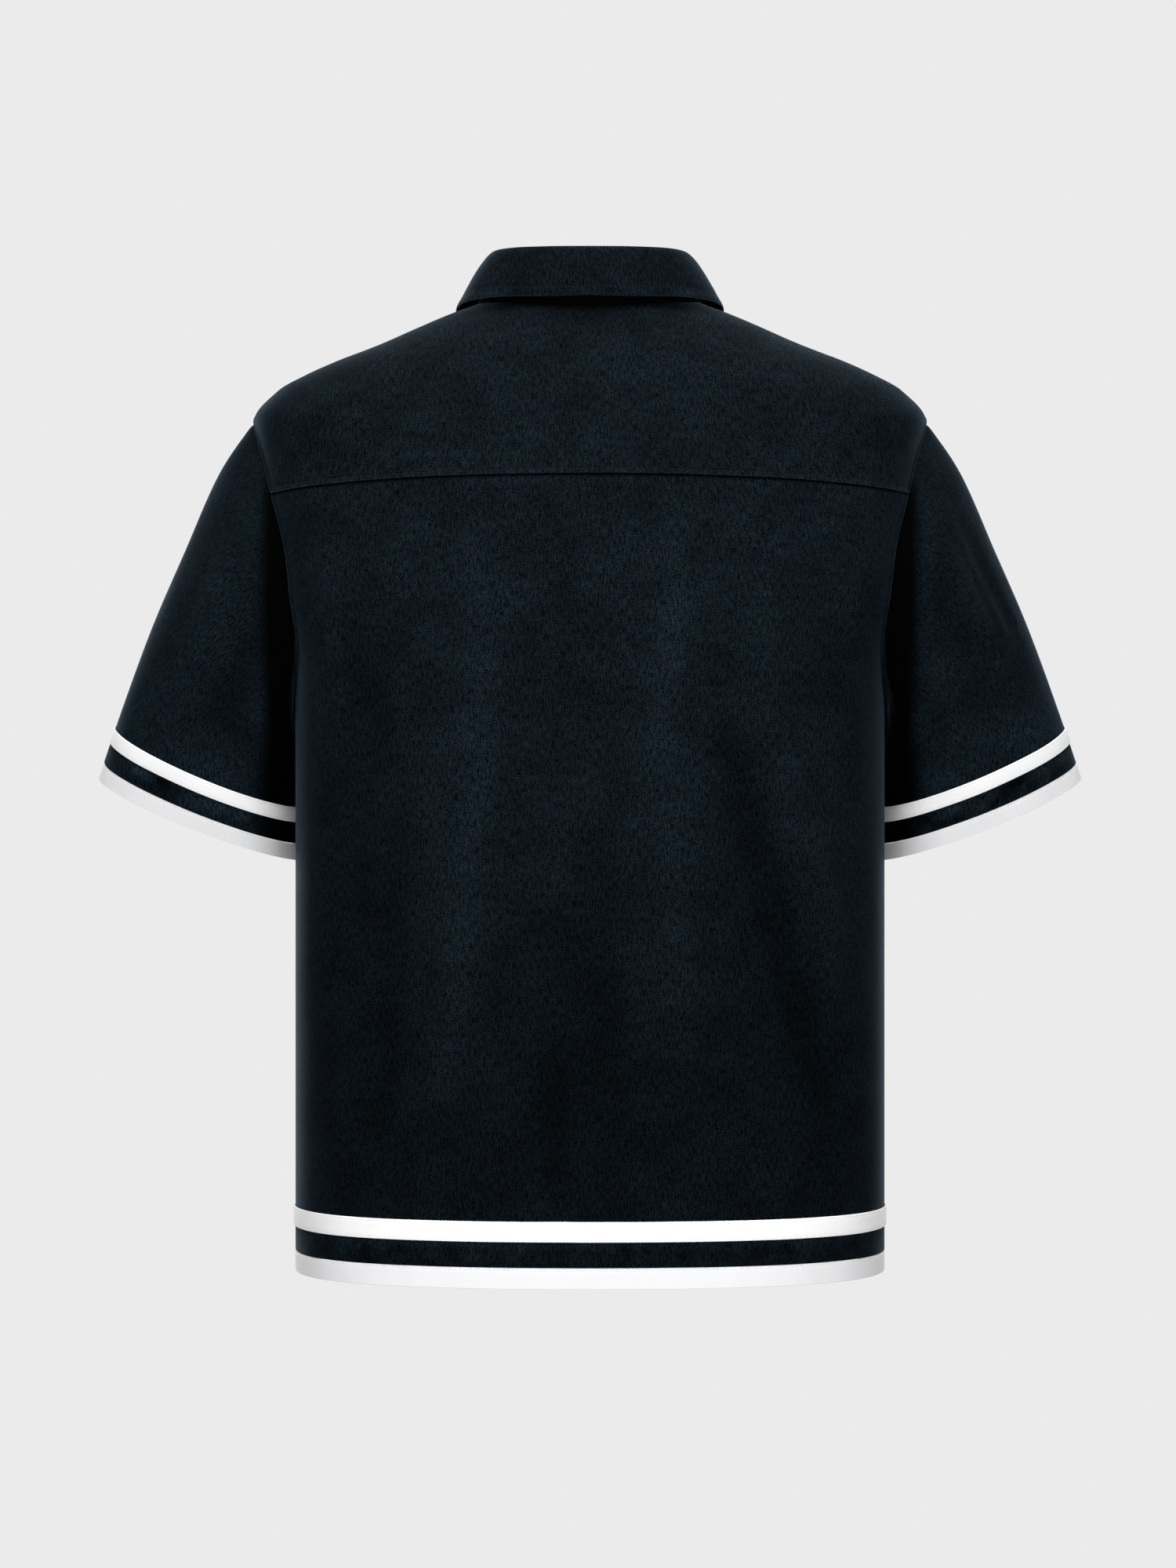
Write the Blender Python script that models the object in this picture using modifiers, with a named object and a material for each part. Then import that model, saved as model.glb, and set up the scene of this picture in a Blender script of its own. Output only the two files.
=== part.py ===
"""Boxy short-sleeved polo shirt, filled out as when worn and hollow inside.

Metres, +Z up. The back faces +Y and the wearer's left is +X. The origin is midway
between the two side points of the neck. Every piece of cloth is a sheet of its own,
shaped by the sections below and given a wall; pieces stay a small gap apart at seams.
"""

import math
from types import SimpleNamespace

import bmesh
import bpy
from mathutils import Vector

# ---------------------------------------------------------------- driving sizes
WALL = 0.0012
TAPE_WALL = 0.0010
SEAM_GAP = 0.0003
EDGE = 0.00028  # how far each piece stays back from a seam, so that bent walls keep the gap

NECK = 0.0045
SHOULDER = -0.0770
YOKE_SEAM = -0.1325
UNDERARM = -0.2850
HEM = -0.6740
BAND_DEPTH = 0.0143
BLACK_DEPTH = 0.0176
TAPE_DEPTH = 0.0134

ARMHOLE_BACK = math.radians(25)
ARMHOLE_FRONT = math.radians(31)
YOKE_FRONT = 0.028
CORNER_AT_NECK = math.radians(38)  # where the line from the yoke's lower corner meets the neckline

CUFF_ZONE = 0.0395
CUFF_BAND = 0.0124
CUFF_BLACK = 0.0160
CUFF_TAPE = 0.0108

PLACKET_HALF = 0.016
SLIT_HALF = 0.006
PLACKET_END = -0.235
BUTTON_RADIUS = 0.0056
BUTTON_DEPTH = 0.0024
BUTTON_HOLE_RADIUS = 0.0008
BUTTON_HOLE_SPREAD = 0.0013
BUTTON_DROPS = (0.016, 0.064, 0.112)

BACK_COLUMNS = 24
BACK_ARMHOLE_ROWS = 6
LOWER_ROWS = 7
SHOULDER_FRONT_ROWS = 2
SHOULDER_BACK_ROWS = 5
YOKE_ROWS = 5
NECKLINE_COLUMNS = 4
FRONT_ARMHOLE_ROWS = 7
SLEEVE_ROWS = 8
LEAF_COLUMNS = 30
LEAF_STEPS = (0.0, 0.10, 0.22, 0.36, 0.56, 0.78, 1.0)

# The body from neck to hem. Side height is the key: each row is one section round
# the body, which may rise or fall from the side to the middle of the back or front.
BODY_COLUMNS = ("side_z", "half_width", "back_y", "back_z", "front_y", "front_z", "square")
BODY_SECTIONS = (
    (0.0045, 0.0800, 0.0700, -0.0024, 0.0680, -0.0700, 0.000),
    (-0.0020, 0.0980, 0.0800, -0.0130, 0.0770, -0.0850, 0.000),
    (-0.0130, 0.1240, 0.0900, -0.0260, 0.0870, -0.1020, 0.000),
    (-0.0245, 0.1500, 0.0985, -0.0390, 0.0960, -0.1170, 0.005),
    (-0.0357, 0.1790, 0.1060, -0.0520, 0.1035, -0.1300, 0.008),
    (-0.0461, 0.2020, 0.1120, -0.0650, 0.1085, -0.1410, 0.010),
    (-0.0560, 0.2195, 0.1165, -0.0770, 0.1125, -0.1500, 0.013),
    (-0.0770, 0.2365, 0.1225, -0.0930, 0.1170, -0.1660, 0.018),
    (-0.1000, 0.2345, 0.1270, -0.1070, 0.1200, -0.1800, 0.025),
    (-0.1325, 0.2320, 0.1310, -0.1225, 0.1230, -0.1980, 0.038),
    (-0.1646, 0.2263, 0.1340, -0.1580, 0.1250, -0.2160, 0.045),
    (-0.1973, 0.2215, 0.1355, -0.1940, 0.1265, -0.2350, 0.045),
    (-0.2513, 0.2092, 0.1360, -0.2513, 0.1280, -0.2680, 0.040),
    (-0.2850, 0.2074, 0.1360, -0.2850, 0.1280, -0.2930, 0.035),
    (-0.3400, 0.2074, 0.1360, -0.3400, 0.1280, -0.3400, 0.030),
    (-0.6740, 0.2074, 0.1360, -0.6740, 0.1280, -0.6740, 0.030),
)

# Soft folds that run down the body: across is where each one lies at its top and
# its foot, lift is how far it stands out (or in, when negative).
FOLD_COLUMNS = ("side", "top_x", "top_z", "foot_x", "foot_z", "half_width", "lift")
FOLDS = (
    ("back", 0.080, -0.150, 0.107, -0.600, 0.042, 0.0050),
    ("back", -0.057, -0.150, -0.046, -0.540, 0.040, 0.0045),
    ("back", -0.130, -0.260, -0.175, -0.520, 0.034, 0.0035),
    ("back", 0.158, -0.160, 0.165, -0.520, 0.036, -0.0040),
    ("back", 0.018, -0.400, 0.012, -0.640, 0.040, -0.0040),
    ("back", -0.083, -0.280, -0.172, -0.610, 0.036, -0.0035),
    ("front", 0.098, -0.240, 0.120, -0.620, 0.040, 0.0045),
    ("front", -0.088, -0.250, -0.128, -0.600, 0.042, 0.0050),
    ("front", 0.046, -0.330, 0.032, -0.630, 0.036, -0.0040),
    ("front", -0.152, -0.260, -0.166, -0.560, 0.034, -0.0040),
)

# The sleeve from the armhole to the cuff: the highest point and the lowest point of
# each ring in the plane of the shoulders, how far the ring sits forward, its
# half-depth, and how much the back of the ring drops because the arm leans forward.
SLEEVE_COLUMNS = ("along", "top_x", "top_z", "under_x", "under_z", "forward", "half_depth", "lean")
SLEEVE_SECTIONS = (
    (0.00, 0.2368, -0.0775, 0.2078, -0.2852, 0.000, 0.055, 0.00),
    (0.14, 0.2611, -0.1117, 0.2092, -0.2960, 0.008, 0.060, 0.03),
    (0.32, 0.2870, -0.1670, 0.2074, -0.3110, 0.019, 0.060, 0.08),
    (0.54, 0.3117, -0.2220, 0.2062, -0.3245, 0.028, 0.058, 0.13),
    (0.80, 0.3386, -0.2920, 0.2046, -0.3475, 0.040, 0.054, 0.18),
    (1.00, 0.3518, -0.3276, 0.2004, -0.3858, 0.050, 0.052, 0.19),
)
ZONE_START = 0.80
FADE_END = 0.55  # where the armhole's own shape has faded into plain rings
ROW_GROWTH = 1.15  # rings lie closer together near the armhole

# The line where the collar stand ends and the leaf folds over.
FOLD_LINE = SimpleNamespace(
    half_width=0.0690, side_z=0.0375, back_y=0.0600, back_z=0.0356, front_y=0.0600, front_z=-0.0420
)
# The free edge of the leaf lies over these points of the body, this far above them.
LEAF_COLUMNS_NAMED = ("around", "body_angle", "body_height", "clear")
LEAF_EDGE = (
    (-84.0, -70.0, -0.0180, 0.0022),
    (-58.0, -50.0, -0.0100, 0.0022),
    (-30.0, -27.0, -0.0035, 0.0022),
    (0.0, 0.0, -0.0005, 0.0024),
    (45.0, 45.0, 0.0030, 0.0048),
    (90.0, 90.0, 0.0045, 0.0062),
)
LEAF_END = math.radians(-84)
LEAF_LIFT = 0.0016
LEAF_ROLL = 0.0068
STAND_END = math.radians(-89.7)

NAVY = (0.0075, 0.0122, 0.0165)
WHITE = (0.93, 0.93, 0.94)
BUTTON_COLOUR = (0.02, 0.022, 0.026)


# ---------------------------------------------------------------- helpers for tables
class Smooth:
    """Rows of named columns, read in between along the first column with no overshoot."""

    def __init__(self, columns, rows):
        self.columns = columns
        self.rows = sorted(rows)
        self.keys = [row[0] for row in self.rows]
        self.slopes = [self.slopes_of([row[c] for row in self.rows]) for c in range(len(columns))]

    def slopes_of(self, values):
        steps = [b - a for a, b in zip(self.keys, self.keys[1:])]
        rises = [(b - a) / step for a, b, step in zip(values, values[1:], steps)]
        slopes = [rises[0]]
        for before, after in zip(rises, rises[1:]):
            slopes.append(0.0 if before * after <= 0 else 2 * before * after / (before + after))
        return slopes + [rises[-1]]

    def at(self, key):
        key = min(max(key, self.keys[0]), self.keys[-1])
        low = max(n for n, k in enumerate(self.keys[:-1]) if k <= key)
        step = self.keys[low + 1] - self.keys[low]
        t = (key - self.keys[low]) / step
        found = {}
        for c, name in enumerate(self.columns):
            a, b = self.rows[low][c], self.rows[low + 1][c]
            out, into = self.slopes[c][low] * step, self.slopes[c][low + 1] * step
            found[name] = (
                a * (1 + 2 * t) * (1 - t) ** 2
                + out * t * (1 - t) ** 2
                + b * t * t * (3 - 2 * t)
                + into * t * t * (t - 1)
            )
        return SimpleNamespace(**found)


def mix(a, b, t):
    return a * (1 - t) + b * t


def ease(t):
    t = min(max(t, 0.0), 1.0)
    return t * t * (3 - 2 * t)


BODY = Smooth(BODY_COLUMNS, BODY_SECTIONS)
SLEEVE = Smooth(SLEEVE_COLUMNS, SLEEVE_SECTIONS)
LEAF = Smooth(LEAF_COLUMNS_NAMED, LEAF_EDGE)


# ---------------------------------------------------------------- the body's surface
def smooth_body(angle, height):
    """A point of the body. Angle 0 is the wearer's left side and a quarter turn is the back."""
    row = BODY.at(height)
    c, s = math.cos(angle), math.sin(angle)
    depth, level = (row.back_y, row.back_z) if s >= 0 else (row.front_y, row.front_z)
    x = row.half_width * (c - row.square * math.cos(3 * angle)) / (1 - row.square)
    y = depth * (s + row.square * math.sin(3 * angle)) / (1 - row.square)
    return Vector((x, y, mix(height, level, s * s)))


def fold_lift(point):
    """How far the soft folds move this point of the body out or in."""
    total = 0.0
    for values in FOLDS:
        fold = SimpleNamespace(**dict(zip(FOLD_COLUMNS, values)))
        if (fold.side == "back") != (point.y >= 0):
            continue
        down = (fold.top_z - point.z) / (fold.top_z - fold.foot_z)
        if not 0 < down < 1:
            continue
        across = (point.x - mix(fold.top_x, fold.foot_x, down)) / fold.half_width
        if abs(across) < 1:
            total += fold.lift * ease(down / 0.3) * ease((1 - down) / 0.3) * math.cos(across * math.pi / 2) ** 2
    return total


def body_normal(angle, height):
    turn, rise = 0.01, 0.002
    around = smooth_body(angle + turn, height) - smooth_body(angle - turn, height)
    up = smooth_body(angle, height + rise) - smooth_body(angle, height - rise)
    return around.cross(up).normalized()


def body(angle, height, out=0.0):
    point = smooth_body(angle, height)
    return point + body_normal(angle, height) * (fold_lift(point) + out)


def armhole_angle(height, front=False):
    """Where the armhole's edge lies at this height, turned from the side."""
    down = (SHOULDER - height) / (SHOULDER - UNDERARM)
    if not 0 < down < 1:
        return 0.0
    widest = ARMHOLE_FRONT if front else ARMHOLE_BACK
    return widest * math.sin(math.pi * down) ** 0.6


def armhole_point(height, front=False):
    angle = armhole_angle(height, front)
    return smooth_body(-angle if front else angle, height)


def even_heights(start, end, count, front=False):
    """Heights that split this stretch of the armhole into equal lengths."""
    steps = 240
    heights = [mix(start, end, (1 - math.cos(math.pi * n / steps)) / 2) for n in range(steps + 1)]
    lengths = [0.0]
    for a, b in zip(heights, heights[1:]):
        lengths.append(lengths[-1] + (armhole_point(a, front) - armhole_point(b, front)).length)
    found = []
    for k in range(count + 1):
        wanted = lengths[-1] * k / count
        n = min(range(steps + 1), key=lambda m: abs(lengths[m] - wanted))
        found.append(heights[n])
    return found


def yoke_front_angle(height):
    return YOKE_FRONT / BODY.at(height).front_y


def yoke_corner():
    """The height where the yoke's front seam meets the armhole."""
    low, high = SHOULDER - 0.05, SHOULDER - 0.0005
    for _ in range(50):
        middle = (low + high) / 2
        if armhole_angle(middle, front=True) > yoke_front_angle(middle):
            low = middle
        else:
            high = middle
    return high


CORNER = yoke_corner()
BACK_HEIGHTS = even_heights(SHOULDER, YOKE_SEAM, SHOULDER_BACK_ROWS)
BACK_HEIGHTS += even_heights(YOKE_SEAM, UNDERARM, BACK_ARMHOLE_ROWS)[1:]
FRONT_HEIGHTS = even_heights(SHOULDER, CORNER, SHOULDER_FRONT_ROWS, front=True)
FRONT_HEIGHTS += even_heights(CORNER, UNDERARM, FRONT_ARMHOLE_ROWS, front=True)[1:]

HEM_HEIGHTS = [
    HEM + BAND_DEPTH,
    HEM + BAND_DEPTH + BLACK_DEPTH,
    HEM + BAND_DEPTH + BLACK_DEPTH + TAPE_DEPTH,
]
LOWER_HEIGHTS = [mix(UNDERARM, HEM_HEIGHTS[2], n / LOWER_ROWS) for n in range(1, LOWER_ROWS + 1)]
LOWER_HEIGHTS += [HEM_HEIGHTS[1], HEM_HEIGHTS[0]]


# ---------------------------------------------------------------- sheets of cloth
def material(name, colour, roughness):
    made = bpy.data.materials.new(name)
    made.use_nodes = True
    shader = made.node_tree.nodes["Principled BSDF"]
    shader.inputs["Base Color"].default_value = (*colour, 1)
    shader.inputs["Roughness"].default_value = roughness
    shader.inputs["Metallic"].default_value = 0.0
    return made


def add_object(name, bm, finish):
    mesh = bpy.data.meshes.new(name)
    bm.to_mesh(mesh)
    bm.free()
    mesh.shade_smooth()
    mesh.set_sharp_from_angle(angle=math.radians(40))
    obj = bpy.data.objects.new(name, mesh)
    obj.data.materials.append(finish)
    bpy.data.collections["Polo shirt"].objects.link(obj)
    return obj


def sheet(name, points, finish, inside, wall=WALL, outward=False, ring=False, left_out=()):
    """A grid shaped to rows of points. Its faces turn away from inside, and its wall
    goes inwards, or outwards on a strip that lies on another piece."""
    rows, columns = len(points) - 1, len(points[0]) - 1
    bm = bmesh.new()
    bmesh.ops.create_grid(bm, x_segments=columns, y_segments=rows, size=1)
    bm.verts.ensure_lookup_table()
    for index, vertex in enumerate(bm.verts):
        row, column = divmod(index, columns + 1)
        vertex.co = points[row][column]
    bm.faces.ensure_lookup_table()
    unwanted = [bm.faces[row * columns + column] for row, column in left_out]
    if unwanted:
        bmesh.ops.delete(bm, geom=unwanted, context="FACES")
    if ring:
        bmesh.ops.remove_doubles(bm, verts=bm.verts, dist=1e-6)
    facing = sum(
        (face.calc_center_median() - inside).dot(face.normal) * face.calc_area()
        for face in bm.faces
        if face.normal_update() is None
    )
    if facing < 0:
        bmesh.ops.reverse_faces(bm, faces=bm.faces)
    obj = add_object(name, bm, finish)
    thick = obj.modifiers.new("Cloth wall", "SOLIDIFY")
    thick.thickness = wall
    thick.offset = 1 if outward else -1
    thick.use_even_offset = True
    return obj


TORSO_MIDDLE = Vector((0, 0, -0.36))


# ---------------------------------------------------------------- body pieces
def drawn_in(points, first=EDGE, last=EDGE, ends=EDGE):
    """The same grid of points with its edges moved in, each square to its own line."""

    def moved(line, inner, gap):
        made = []
        for n, point in enumerate(line):
            along = (line[min(n + 1, len(line) - 1)] - line[max(n - 1, 0)]).normalized()
            inwards = inner[n] - point
            inwards -= along * inwards.dot(along)
            made.append(point + inwards.normalized() * gap)
        return made

    columns = [list(column) for column in zip(*points)]
    left, right = moved(columns[0], columns[1], ends), moved(columns[-1], columns[-2], ends)
    points = [[a] + line[1:-1] + [b] for a, line, b in zip(left, points, right)]
    return [moved(points[0], points[1], first)] + points[1:-1] + [moved(points[-1], points[-2], last)]


def back_row(height, out=0.0):
    """Points across the back from the wearer's left side or armhole to the right."""
    edge = armhole_angle(height)
    return [body(mix(edge, math.pi - edge, n / BACK_COLUMNS), height, out) for n in range(BACK_COLUMNS + 1)]


def make_back_panel(finish):
    heights = BACK_HEIGHTS[SHOULDER_BACK_ROWS:] + LOWER_HEIGHTS
    sheet("back_panel", drawn_in([back_row(height) for height in heights]), finish, TORSO_MIDDLE)


def yoke_rims():
    """(angle, height) pairs round the yoke: its neckline, and the armholes and seam that face it."""
    seam_edge = armhole_angle(YOKE_SEAM)
    front_end = -yoke_front_angle(NECK)
    neckline, outer = [], []
    for n in range(SHOULDER_FRONT_ROWS):
        height = FRONT_HEIGHTS[SHOULDER_FRONT_ROWS - n]
        neckline.append(mix(front_end, 0.0, n / SHOULDER_FRONT_ROWS))
        outer.append((-armhole_angle(height, front=True), height))
    for n in range(SHOULDER_BACK_ROWS):
        height = BACK_HEIGHTS[n]
        neckline.append(mix(0.0, CORNER_AT_NECK, n / SHOULDER_BACK_ROWS))
        outer.append((armhole_angle(height), height))
    for n in range(BACK_COLUMNS // 2 + 1):
        share = n / BACK_COLUMNS
        neckline.append(mix(CORNER_AT_NECK, math.pi - CORNER_AT_NECK, share))
        outer.append((mix(seam_edge, math.pi - seam_edge, share), YOKE_SEAM))
    mirrored = [math.pi - angle for angle in reversed(neckline[:-1])]
    mirrored_outer = [(math.pi - angle, height) for angle, height in reversed(outer[:-1])]
    return neckline + mirrored, outer + mirrored_outer


def make_back_yoke(finish):
    neckline, outer = yoke_rims()
    points = []
    for row in range(YOKE_ROWS + 1):
        t = row / YOKE_ROWS
        line = []
        for at_neck, (angle, height) in zip(neckline, outer):
            line.append(body(mix(at_neck, angle, t), mix(NECK, height, t)))
        points.append(line)
    sheet("back_yoke", drawn_in(points, first=0.0, ends=2 * EDGE), finish, Vector((0, 0, -0.15)))


def placket_angle(height, across):
    """The angle, turned from the side, at which the front lies this far from its middle."""
    row = BODY.at(height)
    width = row.half_width * (1 + 3 * row.square) / (1 - row.square)
    return math.pi / 2 - math.asin(across / width)


def front_top(share):
    """(turn, height) along the front's top edge, from the placket's edge round to the armhole."""
    end = yoke_front_angle(NECK)
    neckline_share = NECKLINE_COLUMNS / (NECKLINE_COLUMNS + YOKE_ROWS)
    if share <= neckline_share:
        return mix(placket_angle(NECK, PLACKET_HALF), end, share / neckline_share), NECK
    t = (share - neckline_share) / (1 - neckline_share)
    return mix(end, armhole_angle(CORNER, front=True), t), mix(NECK, CORNER, t)


def front_half(side, out=0.0):
    """Rows of one half of the front, from its top edge down, each from the slit outwards."""
    columns = NECKLINE_COLUMNS + YOKE_ROWS
    shares = [n / columns for n in range(columns + 1)]
    armhole = FRONT_HEIGHTS[SHOULDER_FRONT_ROWS:]
    rows = []
    for n, height in enumerate(armhole):
        t = 1 - n / FRONT_ARMHOLE_ROWS
        middle = mix(UNDERARM, NECK, t)
        line = [(placket_angle(middle, SLIT_HALF), middle)]
        for share in shares:
            top_turn, top_height = front_top(share)
            low_turn = mix(placket_angle(UNDERARM, PLACKET_HALF), 0.0, share)
            edge_turn = armhole_angle(height, front=True) - mix(0.0, armhole_angle(CORNER, front=True), t)
            placket_turn = placket_angle(middle, PLACKET_HALF) - mix(
                placket_angle(UNDERARM, PLACKET_HALF), placket_angle(NECK, PLACKET_HALF), t
            )
            edge_height = height - mix(UNDERARM, CORNER, t)
            turn = mix(low_turn, top_turn, t) + mix(placket_turn, edge_turn, share)
            line.append((turn, mix(UNDERARM, top_height, t) + edge_height * share))
        rows.append(line)
    for height in LOWER_HEIGHTS:
        line = [(placket_angle(height, SLIT_HALF), height)]
        line += [(mix(placket_angle(height, PLACKET_HALF), 0.0, share), height) for share in shares]
        rows.append(line)
    made = []
    for line in rows:
        made.append([body(-turn if side > 0 else math.pi + turn, height, out) for turn, height in line])
    return made


def front_rows(out=0.0):
    left, right = front_half(1, out), front_half(-1, out)
    return [list(reversed(a)) + b for a, b in zip(left, right)]


def placket_rows(rows):
    """How many rows, from the neckline down, the placket covers."""
    middle = (len(rows[0]) - 1) // 2
    return sum(row[middle].z > PLACKET_END for row in rows)


def make_front_panel(finish):
    points = drawn_in(front_rows())
    middle = (len(points[0]) - 1) // 2
    left_out = [(row, middle) for row in range(placket_rows(points) - 2)]
    sheet("front_panel", points, finish, TORSO_MIDDLE, left_out=left_out)


def strip_rows(out):
    """Rows of the placket's width, taken from the front's own points and moved out."""
    rows = front_rows(out)
    middle = (len(rows[0]) - 1) // 2
    return [row[middle - 1 : middle + 3] for row in rows[: placket_rows(rows)]]


def make_placket(finish):
    upper = strip_rows(SEAM_GAP)
    under = strip_rows(-WALL - SEAM_GAP)
    sheet("placket_upper", upper, finish, TORSO_MIDDLE, outward=True)
    sheet("placket_under", under, finish, TORSO_MIDDLE)
    return upper


def round_rows(heights, out=0.0):
    """Closed rows round the body on the same columns as the back and the front."""
    columns = NECKLINE_COLUMNS + YOKE_ROWS
    made = []
    for height in heights:
        turns = [placket_angle(height, SLIT_HALF)]
        turns += [mix(placket_angle(height, PLACKET_HALF), 0.0, n / columns) for n in range(columns)]
        right = [body(math.pi + turn, height, out) for turn in reversed(turns)]
        left = [body(-turn, height, out) for turn in turns]
        back = back_row(height, out)
        made.append(back + right + left + [back[0]])
    return made


def make_hem(tape_finish, band_finish):
    tape = [HEM_HEIGHTS[2], HEM_HEIGHTS[1]]
    sheet(
        "hem_tape", round_rows(tape, SEAM_GAP), tape_finish, Vector((0, 0, HEM)), TAPE_WALL, True, ring=True
    )
    band = [HEM_HEIGHTS[0] - EDGE, HEM]
    sheet("hem_band", round_rows(band), band_finish, Vector((0, 0, HEM)), 2 * TAPE_WALL, ring=True)


# ---------------------------------------------------------------- sleeves
def sleeve_loop():
    """(turn, armhole point) round the armhole: turn 0 is the shoulder, half a turn the underarm."""
    found = []
    for front, heights in ((False, BACK_HEIGHTS), (True, list(reversed(FRONT_HEIGHTS)))):
        points = [armhole_point(height, front) for height in heights]
        lengths = [0.0]
        for a, b in zip(points, points[1:]):
            lengths.append(lengths[-1] + (a - b).length)
        start = math.pi if front else 0.0
        for height, length, point in zip(heights, lengths, points):
            angle = armhole_angle(height, front)
            surface = body(-angle if front else angle, height)
            found.append((start + math.pi * length / lengths[-1], surface))
        if not front:
            found.pop()
    return found


def sleeve_ring(turn, along):
    row = SLEEVE.at(along)
    if along > ZONE_START:
        start, end = SLEEVE.at(ZONE_START), SLEEVE.at(1.0)
        t = (along - ZONE_START) / (1 - ZONE_START)
        mixed = {name: mix(getattr(start, name), getattr(end, name), t) for name in SLEEVE_COLUMNS}
        row = SimpleNamespace(**mixed)
    top = Vector((row.top_x, 0, row.top_z))
    under = Vector((row.under_x, 0, row.under_z))
    depth = row.half_depth * math.sin(turn)
    point = top.lerp(under, (1 - math.cos(turn)) / 2)
    return point + Vector((0, depth - row.forward, -depth * row.lean))


def sleeve(turn, start, along):
    """A point of the left sleeve: the armhole's own shape fades into the plain rings."""
    fading = 1 - ease(along / FADE_END)
    return sleeve_ring(turn, along) + (start - sleeve_ring(turn, 0.0)) * fading


def sleeve_point(turn, start, along, out):
    point = sleeve(turn, start, along)
    if not out:
        return point
    around = sleeve_ring(turn + 0.02, along) - sleeve_ring(turn - 0.02, along)
    down = sleeve_ring(turn, min(along + 0.01, 1.0)) - sleeve_ring(turn, along - 0.01)
    normal = around.cross(down).normalized()
    centre = sleeve_ring(0.0, along).lerp(sleeve_ring(math.pi, along), 0.5)
    if normal.dot(point - centre) < 0:
        normal.negate()
    return point + normal * out


def zone(distance):
    """The place along the sleeve that lies this far up from the cuff's edge."""
    return 1 - (1 - ZONE_START) * distance / CUFF_ZONE


def sleeve_rows(alongs, side, out=0.0):
    rows = []
    for along in alongs:
        line = [sleeve_point(turn, start, along, out) for turn, start in sleeve_loop()]
        rows.append([Vector((point.x * side, point.y, point.z)) for point in line])
    return rows


def closed_rows(rows):
    return [line[:-1] + [line[0]] for line in rows]


def make_sleeve(label, side, finish, tape_finish, band_finish):
    tape = [zone(CUFF_BAND + CUFF_BLACK + CUFF_TAPE), zone(CUFF_BAND + CUFF_BLACK)]
    seam = zone(CUFF_BAND)
    alongs = [ZONE_START * (n / SLEEVE_ROWS) ** ROW_GROWTH for n in range(SLEEVE_ROWS + 1)]
    alongs = alongs[:-1] + tape + [seam]
    middle = Vector((0.265 * side, -0.02, -0.24))
    rows = sleeve_rows(alongs, side)
    beside = Vector((side * EDGE * 0.8, 0, 0))
    rows[0] = [a + (b - a).normalized() * 2 * EDGE + beside for a, b in zip(rows[0], rows[1])]
    rows[-1] = [a + (b - a).normalized() * EDGE for a, b in zip(rows[-1], rows[-2])]
    sheet(f"sleeve_{label}", closed_rows(rows), finish, middle, ring=True)
    low = Vector((0.272 * side, -0.045, -0.345))
    rows = closed_rows(sleeve_rows(tape, side, SEAM_GAP))
    sheet(f"cuff_tape_{label}", rows, tape_finish, low, TAPE_WALL, True, ring=True)
    rows = closed_rows(sleeve_rows([zone(CUFF_BAND - EDGE), 1.0], side))
    sheet(f"cuff_band_{label}", rows, band_finish, low, 2 * TAPE_WALL, ring=True)


# ---------------------------------------------------------------- collar
def fold_line(angle):
    s = math.sin(angle)
    depth, level = (
        (FOLD_LINE.back_y, FOLD_LINE.back_z) if s >= 0 else (FOLD_LINE.front_y, FOLD_LINE.front_z)
    )
    return Vector((FOLD_LINE.half_width * math.cos(angle), depth * s, mix(FOLD_LINE.side_z, level, s * s)))


def make_stand(finish):
    points = []
    for row in range(3):
        line = []
        for n in range(LEAF_COLUMNS + 1):
            angle = mix(STAND_END, math.pi - STAND_END, n / LEAF_COLUMNS)
            foot, top = smooth_body(angle, NECK), fold_line(angle)
            foot += (top - foot).normalized() * 3 * EDGE
            line.append(foot.lerp(top, row / 2))
        points.append(line)
    sheet("collar_stand", points, finish, Vector((0, 0, 0)))


def leaf_point(angle, t):
    """A point of the leaf: t runs from the fold at the top of the stand to the free edge."""
    mirrored = angle > math.pi / 2
    place = math.pi - angle if mirrored else angle
    edge = LEAF.at(math.degrees(place))
    body_angle = math.radians(edge.body_angle)
    end = smooth_body(body_angle, edge.body_height)
    end = end + body_normal(body_angle, edge.body_height) * edge.clear
    top = fold_line(place)
    rise = (top - smooth_body(place, NECK)).normalized()
    outward = Vector((math.cos(place), math.sin(place), 0))
    outward = (outward - rise * outward.dot(rise)).normalized()
    start = top - outward * WALL + rise * LEAF_LIFT
    controls = (start, start + rise * LEAF_ROLL, top + (outward + rise * 0.5) * LEAF_ROLL, end)
    weights = ((1 - t) ** 3, 3 * t * (1 - t) ** 2, 3 * t * t * (1 - t), t ** 3)
    point = sum((control * weight for control, weight in zip(controls, weights)), Vector())
    return Vector((-point.x, point.y, point.z)) if mirrored else point


def make_leaf(finish):
    points = []
    for t in LEAF_STEPS:
        line = []
        for n in range(LEAF_COLUMNS + 1):
            line.append(leaf_point(mix(LEAF_END, math.pi - LEAF_END, n / LEAF_COLUMNS), t))
        points.append(line)
    sheet("collar_leaf", points, finish, Vector((0, 0, -0.02)))


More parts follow.
